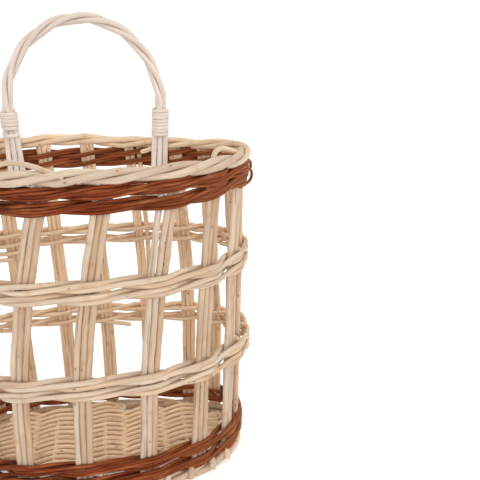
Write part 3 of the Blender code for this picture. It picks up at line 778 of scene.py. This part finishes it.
def backness(y):
    """0 at the front of the basket, 1 at its back wall."""
    return eased(y, FRONT_Y, BACK_Y)


def rim_sway(point):
    """How far the hand-made rim strays from level at one place."""
    return from_table(RIM_SWAY, point.x) * backness(point.y)


def half_axis(size, part, power):
    """How far a superellipse of that size still reaches at a part of its other axis."""
    return size * (1 - min(1, part) ** power) ** (1 / power)


# Routes
def smooth(points, spacing=ROUTE_STEP):
    """A curve through the points that doesn't overshoot at close ones."""
    guides = [points[0] * 2 - points[1], *points, points[-1] * 2 - points[-2]]
    curve = []
    for before, start, end, after in zip(guides, guides[1:], guides[2:], guides[3:]):
        gaps = start - before, end - start, after - end
        left, here, right = (math.sqrt(gap.length) for gap in gaps)
        leave = (gaps[0] / left - (end - before) / (left + here) + gaps[1] / here) * here
        arrive = (gaps[1] / here - (after - start) / (here + right) + gaps[2] / right) * here
        count = max(1, round(gaps[1].length / spacing))
        for step in range(count):
            t = step / count
            curve.append(
                start * (2 * t ** 3 - 3 * t ** 2 + 1)
                + leave * (t ** 3 - 2 * t ** 2 + t)
                + end * (3 * t ** 2 - 2 * t ** 3)
                + arrive * (t ** 3 - t ** 2)
            )
    return [*curve, points[-1]]


def rope_lay(rod):
    """Distance of each rod's centre from the centre of a three-rod rope."""
    return (rod + CLEARANCE) / (2 * math.sin(math.pi / ROPE_RODS))


def stake_routes(stake):
    """The three rods of a stake, tucked into both borders."""
    routes = []
    for place in (-1, 0, 1):
        points = []
        for height in ROD_HEIGHTS:
            centre, along, _ = stake_frame(stake, height)
            fan = STAKE_FANS.get((stake, place), 0) * from_table(FAN_SHARES, height)
            point = centre + along * (place * stake_rod(stake) * STAKE_SPACING + fan)
            point.z = height + (min(0, rim_sway(centre)) if height > STAKE_TOP else 0)
            points.append(point)
        routes.append(smooth(points, STAKE_STEP))
    return routes


def wale_reach(stake, side, height):
    """How far past a stake's middle a weaver runs on before it turns to the next one."""
    centre, along, _ = stake_frame(stake, height)
    neighbour = stake_frame((stake + side) % STAKES, height)[0]
    turn = along.angle((neighbour - centre) * side)
    return stake_rod(stake) * (WALE_REACH_SHARE + WALE_CORNER_SHARE * turn)


def wale_route(first, middle, thick, tall, pitches, slack, rise, gather):
    """Route of one weaver: behind a stake, then in front of two, twice round the basket.

    It comes out low, crosses two stakes while it rises, and goes in over the next weaver.
    Slack is how far it stands off at the right end, rise how far it climbs to the back wall,
    gather by what share its lower row closes up to the upper one at the right end.
    """
    route = []

    def go_on(point, step, lift, stands_off):
        """Add a point at the height of its row, with the sway that a hand gives it."""
        if stands_off:
            point.x += slack * eased(point.x, *SLACK_REACH)
        row = min(step // STAKES, WALE_ROWS - 1)
        back = backness(point.y)
        pitch = pitches[0] + (pitches[1] - pitches[0]) * back
        closed = gather * eased(point.x, *GATHER_REACH) * (WALE_ROWS - 1 - row)
        row_middle = middle + rise * back + pitch * (row - (WALE_ROWS - 1) / 2 + closed)
        waves = (
            point.x * ROW_SWAY_WAVES, point.y * ROW_SWAY_WAVES,
            middle * BAND_SLICE + row * ROW_SLICE,
        )
        half = (tall * thickness_share(point.y, BACK_WOVEN_THICKNESS) + CLEARANCE) / 2
        point.z = row_middle + noise.noise(Vector(waves)) * ROW_SWAY + lift * half
        route.append(point)

    for step in range(WALE_ROWS * STAKES + 1):
        stake = (first + step) % STAKES
        phase = step % WALE_WEAVERS
        before, after, half_way = WALE_LIFTS[phase]
        centre, along, outward = stake_frame(stake, middle)
        woven = thick * thickness_share(centre.y, BACK_WOVEN_THICKNESS)
        away = stake_rod(stake) / 2 + CLEARANCE + woven / 2
        if phase == 0:
            away = -away
        for side, row_step, lift in ((-1, max(step - 1, 0), before), (1, step, after)):
            point = centre + along * side * wale_reach(stake, side, middle) + outward * away
            go_on(point, row_step, lift, phase > 0)
        if step == WALE_ROWS * STAKES:
            break

        # Half way to the next stake
        share = (stake_share(stake, middle) + stake_share(stake + 1, middle)) / 2
        chord = (centre + stake_frame((stake + 1) % STAKES, middle)[0]) / 2
        bulge, _, outward = wall_frame(share, middle)
        point = chord.lerp(bulge, WALE_BULGE) + outward * (away if phase == 1 else 0)
        go_on(point, step, half_way, phase == 1)
    return smooth(route)


def paired(route, tall, seed):
    """Two rods that run as one, rolling a little round each other; the lower ends first."""
    upper, lower = [], []
    for index, point in enumerate(route):
        before, after = route[max(index - 1, 0)], route[min(index + 1, len(route) - 1)]
        outward = (after - before).cross(UP).normalized()
        waves = Vector((index * PAIR_ROLL_WAVES, seed * PAIR_SLICE, 0.5))
        roll = noise.noise(waves) * PAIR_ROLL
        share = thickness_share(point.y, BACK_WOVEN_THICKNESS)
        apart = (UP * math.cos(roll) + outward * math.sin(roll)) * tall / 4 * share
        upper.append(point + apart)
        lower.append(point - apart)
    return [upper, lower[:-PAIR_EARLY_END]]


def border_routes(rod, height, joint, sway=None):
    """The rods of a rope that follows the wall all the way round."""
    steps = ROPE_TURNS * ROPE_TURN_STEPS
    routes = []
    for index in range(ROPE_RODS):
        route = []
        for step in range(steps + 1):
            part = step / steps
            angle = 2 * math.pi * (ROPE_TURNS * part + index / ROPE_RODS)
            centre, _, outward = wall_frame(joint + index / ROPE_RODS + part * ROPE_RUN, height)
            lay = rope_lay(rod * thickness_share(centre.y))
            rise = sway(centre) if sway else 0
            sideways = outward * (lay * math.cos(angle))
            route.append(centre + sideways + UP * (lay * math.sin(angle) + rise))
        routes.append([route])
    return routes


def handle_depth():
    """Y of the handle: its legs lie against the rim border's inner side."""
    across = (HANDLE_HALF_WIDTH + HANDLE_OFFSET + LEG_HALF_WIDTH) / TOP_HALF_WIDTH
    wall = half_axis(BACK_DEPTH, across, BACK_POWER)
    return wall - PART_RIM_RADIUS - 2 * CLEARANCE - PART_HANDLE_ROD / 2


def leg_across(height):
    """Distance of a leg from the handle's middle, which draws in as it goes down."""
    drop = max(0, (HANDLE_SPRING - height) / (HANDLE_SPRING - HANDLE_LEG_FOOT))
    return HANDLE_HALF_WIDTH - HANDLE_LEG_INSET * drop


def bundle(angle, flatness, splay):
    """Where the three rods lie across the handle: twisted at 0, side by side at 1."""
    rod = bpy.context.scene.planter_rods.handle_rod
    offsets = []
    for index in range(ROPE_RODS):
        turn = angle + 2 * math.pi * index / ROPE_RODS
        twisted = Vector((math.cos(turn), math.sin(turn))) * rope_lay(rod)
        place_in_row = round((turn - HANDLE_START_ANGLE) * ROPE_RODS / (2 * math.pi)) % ROPE_RODS
        beside = Vector(((1 - place_in_row) * rod * splay, 0))
        offsets.append(twisted.lerp(beside, flatness))
    return offsets


def handle_stations():
    """Centre, outward direction and bundle at each station, from left foot to right."""
    twist = 2 * math.pi * HANDLE_TURNS
    left, right = [], []
    for height, flatness, splay in HANDLE_LEG:
        for side, stations, turned in ((-1, left, 0), (1, right, twist)):
            centre = Vector((side * leg_across(height), 0, height))
            rods = bundle(HANDLE_START_ANGLE + turned, flatness, splay)
            stations.append((centre, Vector((side, 0, 0)), rods))
    rise = HANDLE_TOP - HANDLE_CROWN - HANDLE_SPRING
    arch = []
    for step in range(ARCH_STEPS + 1):
        part = step / ARCH_STEPS
        across, up = math.cos(math.pi * (1 - part)), math.sin(math.pi * (1 - part))
        centre = Vector((HANDLE_HALF_WIDTH * across, 0, HANDLE_SPRING + rise * up))
        away = Vector((rise * across, 0, HANDLE_HALF_WIDTH * up)).normalized()
        arch.append((centre, away, bundle(HANDLE_START_ANGLE + twist * part, 0, 1)))
    return left + arch + right[::-1]


def handle_routes():
    place = PLAN_ZERO + Vector((HANDLE_OFFSET, handle_depth(), 0))
    routes = [[], [], []]
    for centre, away, offsets in handle_stations():
        for route, (out, back) in zip(routes, offsets):
            route.append(place + centre + away * out + Vector((0, back, 0)))
    return [[smooth(route)] for route in routes]


def coil_route(side, foot, loops):
    """An oval helix round one leg of the handle, with its tips tucked under the loops."""
    count = round(loops * COIL_STEPS)
    width, depth = COIL_RADII
    route = []
    for step in range(count + 1):
        angle = 2 * math.pi * step / COIL_STEPS
        height = foot + COIL_PITCH * step / COIL_STEPS
        from_tip = min(1, min(step, count - step) / COIL_TUCK_STEPS)
        tuck = COIL_TUCK + (1 - COIL_TUCK) * from_tip
        around = Vector((math.sin(angle) * width, math.cos(angle) * depth, 0)) * tuck
        slant = UP * math.sin(angle) * COIL_SLANT
        centre = Vector((HANDLE_OFFSET + side * leg_across(height), handle_depth(), height))
        route.append(PLAN_ZERO + centre + around + slant)
    return route


# Base
def base_span(along):
    """Half width of the room for the base weave at one depth of the plan."""
    power = FRONT_POWER if along < 0 else BACK_POWER
    depth = (FOOT_FRONT_DEPTH if along < 0 else BACK_DEPTH) - BASE_INSET
    return half_axis(FOOT_HALF_WIDTH - BASE_INSET, abs(along) / depth, power)


def base_sticks():
    half = FOOT_HALF_WIDTH - BASE_INSET
    return [share * half for share in BASE_STICK_SHARES]


def twist_at(x, sticks):
    """Half turns of the twining: a whole number at each stick."""
    spacing = (sticks[-1] - sticks[0]) / (len(sticks) - 1)
    if x <= sticks[0]:
        return (x - sticks[0]) / spacing
    for index, (left, right) in enumerate(zip(sticks, sticks[1:])):
        if x <= right:
            return index + (x - left) / (right - left)
    return len(sticks) - 1 + (x - sticks[-1]) / spacing


def twined_route(side):
    """One of two rods twined round the base sticks, in rows from the wall to the front."""
    rods = bpy.context.scene.planter_rods
    pitch = 2 * rods.base_rod
    half = rods.base_rod / 2
    lift = (rods.base_stick + rods.base_rod) / 2
    sticks = base_sticks()
    back = BACK_DEPTH - BASE_INSET + BASE_BACK_ROOM
    front = -(FOOT_FRONT_DEPTH - BASE_INSET) - BASE_FRONT_ROOM
    rows = [back - pitch * (row + 1 / 2) for row in range(int((back - front) / pitch))]

    def reach(spans):
        """Half length of a row, where rows next to each other meet."""
        return min(base_span(y) for y in spans) - pitch + BASE_OVERHANG

    points = []
    for row, middle in enumerate(rows):
        heading = 1 if row % 2 == 0 else -1
        end = heading * reach(rows[row:row + 2])
        start = -heading * reach(rows[max(0, row - 1):row + 1])
        length = abs(end - start)
        steps = max(2, round(length / TWINE_STEP))
        for step in range(steps + 1):
            x = start + (end - start) * step / steps
            twist = math.pi * (twist_at(x, sticks) + row + (side < 0))
            fade = min(1, min(step, steps - step) * length / steps / TWINE_FADE)
            swing, settled = math.sin(twist) * half, half * heading * side
            y = middle + swing * fade + settled * (1 - fade)
            points.append(Vector((x, y, BASE_LEVEL + math.cos(twist) * lift * fade)))
        if row < len(rows) - 1:
            radius = pitch / 2 + half * side
            for eighths in range(3, -4, -1):
                angle = math.pi / 8 * eighths
                x = end + heading * radius * math.cos(angle)
                y = middle - pitch / 2 + radius * math.sin(angle)
                points.append(Vector((x, y, BASE_LEVEL)))
    return [point + PLAN_ZERO for point in points]


def stick_route(x, front, back):
    """A base stick, bent down at both ends onto the foot border."""
    places = (
        (front, STICK_END_LEVEL), (front + STICK_BEND, BASE_LEVEL),
        (back - STICK_BEND, BASE_LEVEL), (back, STICK_END_LEVEL),
    )
    return smooth([Vector((x, y, z)) + PLAN_ZERO for y, z in places])


# Ends and loops that a hand left: name, height, rod, finish, and points as
# share of the outline, distance outwards and distance up
LOOSE_ENDS = (
    ("rim_loop_right", RIM_HEIGHT, 0.0050, "peeled_willow", (
        (0.163, -0.0040, 0.0000), (0.168, -0.0072, 0.0045), (0.176, -0.0090, 0.0078),
        (0.186, -0.0085, 0.0090), (0.196, -0.0055, 0.0072), (0.206, -0.0020, 0.0040),
        (0.217, 0.0020, 0.0000),
    )),
    ("rim_loop_left", RIM_HEIGHT, 0.0042, "peeled_willow", (
        (0.900, 0.0000, 0.0030), (0.912, -0.0020, 0.0085), (0.929, -0.0030, 0.0118),
        (0.944, -0.0030, 0.0107), (0.959, -0.0020, 0.0078), (0.973, 0.0000, 0.0038),
        (0.985, 0.0030, 0.0010),
    )),
    ("rim_end_back", UPPER_WALE_HEIGHT, 0.0043, "peeled_willow", (
        (0.4262, -0.0090, 0.0067), (0.4180, -0.0086, 0.0082), (0.4080, -0.0070, 0.0110),
        (0.3980, -0.0030, 0.0150),
    )),
    ("upper_band_end_1", UPPER_BAND_HEIGHT, 0.0042, "peeled_willow", (
        (0.5925, -0.0042, -0.0118), (0.6070, -0.0048, -0.0120), (0.6220, -0.0030, -0.0124),
        (0.6380, 0.0015, -0.0128), (0.6550, 0.0043, -0.0126), (0.6700, 0.0043, -0.0122),
    )),
    ("upper_band_end_2", UPPER_BAND_HEIGHT, 0.0040, "peeled_willow", (
        (0.6050, -0.0046, -0.0184), (0.6220, -0.0034, -0.0185), (0.6380, 0.0014, -0.0188),
        (0.6550, 0.0042, -0.0186), (0.6680, 0.0042, -0.0182),
    )),
    ("lower_band_end", LOWER_BAND_HEIGHT, 0.0042, "peeled_willow", (
        (0.4505, -0.0048, -0.0100), (0.4690, -0.0048, -0.0074), (0.4870, -0.0044, -0.0056),
        (0.5000, -0.0020, -0.0052), (0.5100, 0.0010, -0.0052),
    )),
    ("dyed_loop_high", UPPER_WALE_HEIGHT, 0.0027, "chestnut_dyed_willow", (
        (0.1980, 0.0050, 0.0105), (0.2160, 0.0068, 0.0118), (0.2300, 0.0078, 0.0112),
        (0.2380, 0.0086, 0.0070), (0.2390, 0.0086, 0.0030),
    )),
    ("dyed_loop_low", UPPER_WALE_HEIGHT, 0.0027, "chestnut_dyed_willow", (
        (0.2080, 0.0050, 0.0042), (0.2200, 0.0066, 0.0046), (0.2300, 0.0088, 0.0030),
        (0.2350, 0.0098, -0.0020), (0.2310, 0.0090, -0.0062), (0.2190, 0.0068, -0.0082),
        (0.2040, 0.0050, -0.0090),
    )),
)

# Short ends of stake rods under the lower wale: where each is, and its points as share of the
# outline past that, distance outwards and distance up from the foot border's middle
STUB_SHARES = (0.955, 0.005, 0.045, 0.085, 0.118, 0.152, 0.180)
STUB_POINTS = (
    (0.007, -0.0035, 0.0057), (0.004, 0.0030, 0.0059), (0.001, 0.0072, 0.0029),
    (-0.001, 0.0084, -0.0011),
)


def loose_route(height, points, start=0):
    route = []
    for share, out, up in points:
        centre, _, outward = wall_frame(start + share, height)
        route.append(centre + outward * out + UP * up)
    return smooth(route, FINE_STEP)


# Pieces
CREASE_ANGLE = math.radians(55)
THINNING = {"Front share": FRONT_THICKNESS, "Back share": BACK_THICKNESS}
WOVEN_THINNING = {"Front share": FRONT_THICKNESS, "Back share": BACK_WOVEN_THICKNESS}


def put(name, data):
    """A new object in the scene."""
    item = bpy.data.objects.new(name, data)
    bpy.context.scene.collection.objects.link(item)
    return item


def lay_rods(name, routes, finish_name, nodes, rod, seed, **changes):
    """Lay rods along the routes as one plain mesh that stands for its CAD nodes.

    Changes are inputs of the rod tree; a thickness of its own makes the rod flat cane.
    """
    points, edges = [], []
    for route in routes:
        first = len(points)
        points += route
        edges += [(index, index + 1) for index in range(first, len(points) - 1)]
    mesh = bpy.data.meshes.new(name + "_routes")
    mesh.from_pydata(points, edges, [])
    host = put(name + "_routes", mesh)

    tree = rod_tree(flat="Thickness" in changes)
    modifier = host.modifiers.new(tree.name, "NODES")
    modifier.node_group = tree
    rods = bpy.context.scene.planter_rods
    sizes = {
        "Width": rod, "Thickness": rod, "Sides": rods.sides, "Wander": rods.wander,
        "Unevenness": rods.unevenness, "Seed": seed, "Finish": finish(finish_name),
    }
    for label, value in {**sizes, **changes}.items():
        modifier[tree.interface.items_tree[label].identifier] = value
    graph = bpy.context.evaluated_depsgraph_get()
    mesh = bpy.data.meshes.new_from_object(host.evaluated_get(graph))
    bpy.data.objects.remove(host)
    mesh.set_sharp_from_angle(angle=CREASE_ANGLE)
    mesh.name = name
    piece = put(name, mesh)
    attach(piece, BODY)
    if nodes:
        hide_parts(*nodes)
    return piece


def lay_set(name, node, bundles, finish_name, rod, seed, **changes):
    """Lay numbered pieces, one for each bundle of routes and for the node of that number."""
    return [
        lay_rods(
            f"{name}_{number}", routes, finish_name, [f"{node}_{number}"], rod,
            seed + number - 1, **changes,
        )
        for number, routes in enumerate(bundles, 1)
    ]


class PLANTER_OT_stakes(bpy.types.Operator):
    """Lay the three rods of every stake"""

    bl_idname = "planter.stakes"
    bl_label = "Stakes"

    def execute(self, context):
        for stake in range(STAKES):
            number = f"{stake + 1:02d}"
            lay_rods(
                f"stake_rods_{number}", stake_routes(stake), "peeled_willow_stakes",
                [f"stake_{number}"], stake_rod(stake), seed=100 + stake,
                Step=0.004, Slant=0.0,
            )
        return {"FINISHED"}


class PLANTER_OT_bands(bpy.types.Operator):
    """Weave the two natural bands"""

    bl_idname = "planter.bands"
    bl_label = "Natural Bands"

    def execute(self, context):
        rod = context.scene.planter_rods.natural_rod
        for band, first, middle, *lie, seed in BANDS:
            starts = range(first, first + WALE_WEAVERS)
            routes = [[wale_route(start, middle, rod, rod, *lie)] for start in starts]
            lay_set(
                f"{band}_rod", f"{band}_weaver", routes, "peeled_willow", rod, seed,
                **WOVEN_THINNING,
            )
        return {"FINISHED"}


class PLANTER_OT_wales(bpy.types.Operator):
    """Weave the two wales of dyed pairs"""

    bl_idname = "planter.wales"
    bl_label = "Dyed Wales"

    def execute(self, context):
        rod = context.scene.planter_rods.dyed_rod
        for wale, first, middle, *lie, seed in WALES:
            pairs = []
            for weaver in range(WALE_WEAVERS):
                route = wale_route(first + weaver, middle, rod, DYED_PAIR_HEIGHT, *lie)
                pairs.append(paired(route, DYED_PAIR_HEIGHT, first * 10 + weaver))
            lay_set(
                f"{wale}_pair", f"{wale}_weaver", pairs, "chestnut_dyed_willow", rod, seed,
                Sides=10, Wander=0.0003, **WOVEN_THINNING,
            )
        return {"FINISHED"}


class PLANTER_OT_rim(bpy.types.Operator):
    """Roll the rim border"""

    bl_idname = "planter.rim"
    bl_label = "Rim Border"

    def execute(self, context):
        rod = context.scene.planter_rods.rim_rod
        routes = border_routes(rod, RIM_HEIGHT, RIM_JOINT_SHARE, rim_sway)
        lay_set(
            "rim_rod", "rim_border_rod", routes, "peeled_willow_rim", rod, seed=410,
            Sides=16, **THINNING,
        )
        return {"FINISHED"}


class PLANTER_OT_foot(bpy.types.Operator):
    """Lay the foot border, worn flat where it stands"""

    bl_idname = "planter.foot"
    bl_label = "Foot Border"

    def execute(self, context):
        rod = context.scene.planter_rods.foot_rod
        routes = border_routes(rod, FOOT_HEIGHT, FOOT_JOINT_SHARE)
        for piece in lay_set(
            "foot_rod", "foot_border_rod", routes, "peeled_willow", rod, seed=500,
            Sides=14, **THINNING,
        ):
            for corner in piece.data.vertices:
                corner.co.z = max(corner.co.z, 0)
        return {"FINISHED"}


class PLANTER_OT_handle(bpy.types.Operator):
    """Twist the handle"""

    bl_idname = "planter.handle"
    bl_label = "Handle"

    def execute(self, context):
        lay_set(
            "handle_cane", "handle_rod", handle_routes(), "pale_cane",
            context.scene.planter_rods.handle_rod, seed=600,
            Sides=16, Wander=0.0002, Unevenness=0.03,
        )
        return {"FINISHED"}


class PLANTER_OT_lashings(bpy.types.Operator):
    """Wind the lashings and the tie of flat cane"""

    bl_idname = "planter.lashings"
    bl_label = "Lashings"

    def execute(self, context):
        rods = context.scene.planter_rods
        for name, side, foot, loops, seed in LASHINGS:
            lay_rods(
                f"{name}_cane", [coil_route(side, foot, loops)], "pale_cane", [name],
                rods.cane_width, seed, Thickness=rods.cane_thickness,
                Step=0.0012, Wander=0.0001, Unevenness=0.02, Slant=0.0,
            )
        return {"FINISHED"}


class PLANTER_OT_loose_ends(bpy.types.Operator):
    """Lay the loops, tips and stubs that stand off the weave"""

    bl_idname = "planter.loose_ends"
    bl_label = "Loose Ends"

    def execute(self, context):
        for index, (name, height, rod, finish_name, points) in enumerate(LOOSE_ENDS):
            lay_rods(
                name, [loose_route(height, points)], finish_name, [], rod, seed=900 + index,
                Step=FINE_STEP, Wander=0.0001, Slant=0.4,
            )
        stubs = [loose_route(FOOT_HEIGHT, STUB_POINTS, share) for share in STUB_SHARES]
        lay_rods(
            "foot_stubs", stubs, "peeled_willow", [], context.scene.planter_rods.foot_rod,
            seed=950, Step=FINE_STEP, Wander=0.0001, Slant=0.2,
        )
        return {"FINISHED"}


class PLANTER_OT_base(bpy.types.Operator):
    """Twine the base round its sticks"""

    bl_idname = "planter.base"
    bl_label = "Base"

    def execute(self, context):
        rods = context.scene.planter_rods
        for index, x in enumerate(base_sticks()):
            name = f"base_stick_{index + 1}"
            low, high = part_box(name)
            route = stick_route(x, low.y - PLAN_ZERO.y, high.y - PLAN_ZERO.y)
            lay_rods(
                f"{name}_rod", [route], "peeled_willow_base", [name],
                rods.base_stick, seed=800 + index,
            )
        lay_set(
            "base_rod", "base_weaver", [[twined_route(1)], [twined_route(-1)]],
            "peeled_willow_base", rods.base_rod, seed=820, Wander=0.0003,
        )
        return {"FINISHED"}


class PLANTER_OT_stage(bpy.types.Operator):
    """Set the floor, the lights and the camera"""

    bl_idname = "planter.stage"
    bl_label = "Stage"

    def execute(self, context):
        scene = context.scene
        backdrop = scene.planter_colours.backdrop
        profile = [(-FLOOR_REACH, 0.0), (SWEEP_START, 0.0)]
        for step in range(1, SWEEP_STEPS + 1):
            angle = math.pi / 2 * step / SWEEP_STEPS
            profile.append((
                SWEEP_START + SWEEP_RADIUS * math.sin(angle),
                SWEEP_RADIUS - SWEEP_RADIUS * math.cos(angle),
            ))
        profile.append((SWEEP_START + SWEEP_RADIUS, BACKDROP_TOP))
        points = [(x, y, z) for y, z in profile for x in (-FLOOR_REACH, FLOOR_REACH)]
        faces = [(2 * i, 2 * i + 1, 2 * i + 3, 2 * i + 2) for i in range(len(profile) - 1)]
        mesh = bpy.data.meshes.new("sweep")
        mesh.from_pydata(points, [], faces)
        mesh.shade_smooth()
        sweep = put("sweep", mesh)

        # Matt paper, lit a little more where the camera or a reflection sees it
        material, tree = new_finish("matt_paper_sweep")
        paper = add(tree, "ShaderNodeBsdfDiffuse", {"Color": backdrop})
        ray = add(tree, "ShaderNodeLightPath").outputs
        seen = add(
            tree, "ShaderNodeMath", {0: ray["Is Camera Ray"], 1: ray["Is Glossy Ray"]},
            operation="MAXIMUM",
        )
        strength = add(tree, "ShaderNodeMath", {0: seen, 1: FLOOR_GLOW}, operation="MULTIPLY")
        glow = add(tree, "ShaderNodeEmission", {"Color": backdrop, "Strength": strength})
        both = add(tree, "ShaderNodeAddShader", {0: paper, 1: glow})
        add(tree, "ShaderNodeOutputMaterial", {"Surface": both})
        mesh.materials.append(material)

        # Even light from all round, with soft boxes above
        world = bpy.data.worlds.new("studio")
        scene.world = world
        world.use_nodes = True
        tree = world.node_tree
        background = tree.nodes["Background"]
        background.inputs["Color"].default_value = (1, 1, 1, 1)
        sight = add(tree, "ShaderNodeLightPath").outputs["Is Camera Ray"]
        light = add(
            tree, "ShaderNodeMapRange", {"Value": sight, "To Min": WORLD_LIGHT, "To Max": 1.0},
        )
        tree.links.new(output(light), background.inputs["Strength"])
        for name, place, power, size in SOFT_BOXES:
            lamp = bpy.data.lights.new(name, "AREA")
            lamp.energy = power
            lamp.size = size
            soft_box = put(name, lamp)
            soft_box.location = place
            aim = LIGHT_AIM - Vector(place)
            soft_box.rotation_euler = aim.to_track_quat("-Z", "Y").to_euler()

        lens = bpy.data.cameras.new("photo_camera")
        lens.lens = CAMERA_LENS
        lens.sensor_width = SENSOR
        camera = put("photo_camera", lens)
        camera.location = CAMERA_PLACE
        camera.rotation_euler = (math.pi / 2 - CAMERA_PITCH, 0, -CAMERA_YAW)
        scene.camera = camera
        scene.view_settings.view_transform = "Standard"
        return {"FINISHED"}


OPERATORS = (
    PLANTER_OT_stakes,
    PLANTER_OT_bands,
    PLANTER_OT_wales,
    PLANTER_OT_rim,
    PLANTER_OT_foot,
    PLANTER_OT_handle,
    PLANTER_OT_lashings,
    PLANTER_OT_base,
    PLANTER_OT_loose_ends,
    PLANTER_OT_stage,
)


class PLANTER_PT_sidebar(bpy.types.Panel):
    """Sizes, colours and pieces of the planter"""

    bl_idname = "PLANTER_PT_sidebar"
    bl_label = "Wall Hanging Planter"
    bl_space_type = "VIEW_3D"
    bl_region_type = "UI"
    bl_category = "Planter"

    def draw(self, context):
        layout = self.layout
        for group in (context.scene.planter_rods, context.scene.planter_colours):
            box = layout.box()
            for key in group.bl_rna.properties.keys():
                if key not in ("rna_type", "name"):
                    box.prop(group, key)
        for operator in OPERATORS:
            layout.operator(operator.bl_idname)


CLASSES = (PlanterRods, PlanterColours, *OPERATORS, PLANTER_PT_sidebar)


def register():
    for item in CLASSES:
        bpy.utils.register_class(item)
    bpy.types.Scene.planter_rods = PointerProperty(type=PlanterRods)
    bpy.types.Scene.planter_colours = PointerProperty(type=PlanterColours)


def unregister():
    del bpy.types.Scene.planter_colours
    del bpy.types.Scene.planter_rods
    for item in reversed(CLASSES):
        bpy.utils.unregister_class(item)


def main():
    register()
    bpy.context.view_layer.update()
    for operator in OPERATORS:
        group, name = operator.bl_idname.split(".")
        getattr(getattr(bpy.ops, group), name)()


if __name__ == "__main__":
    main()
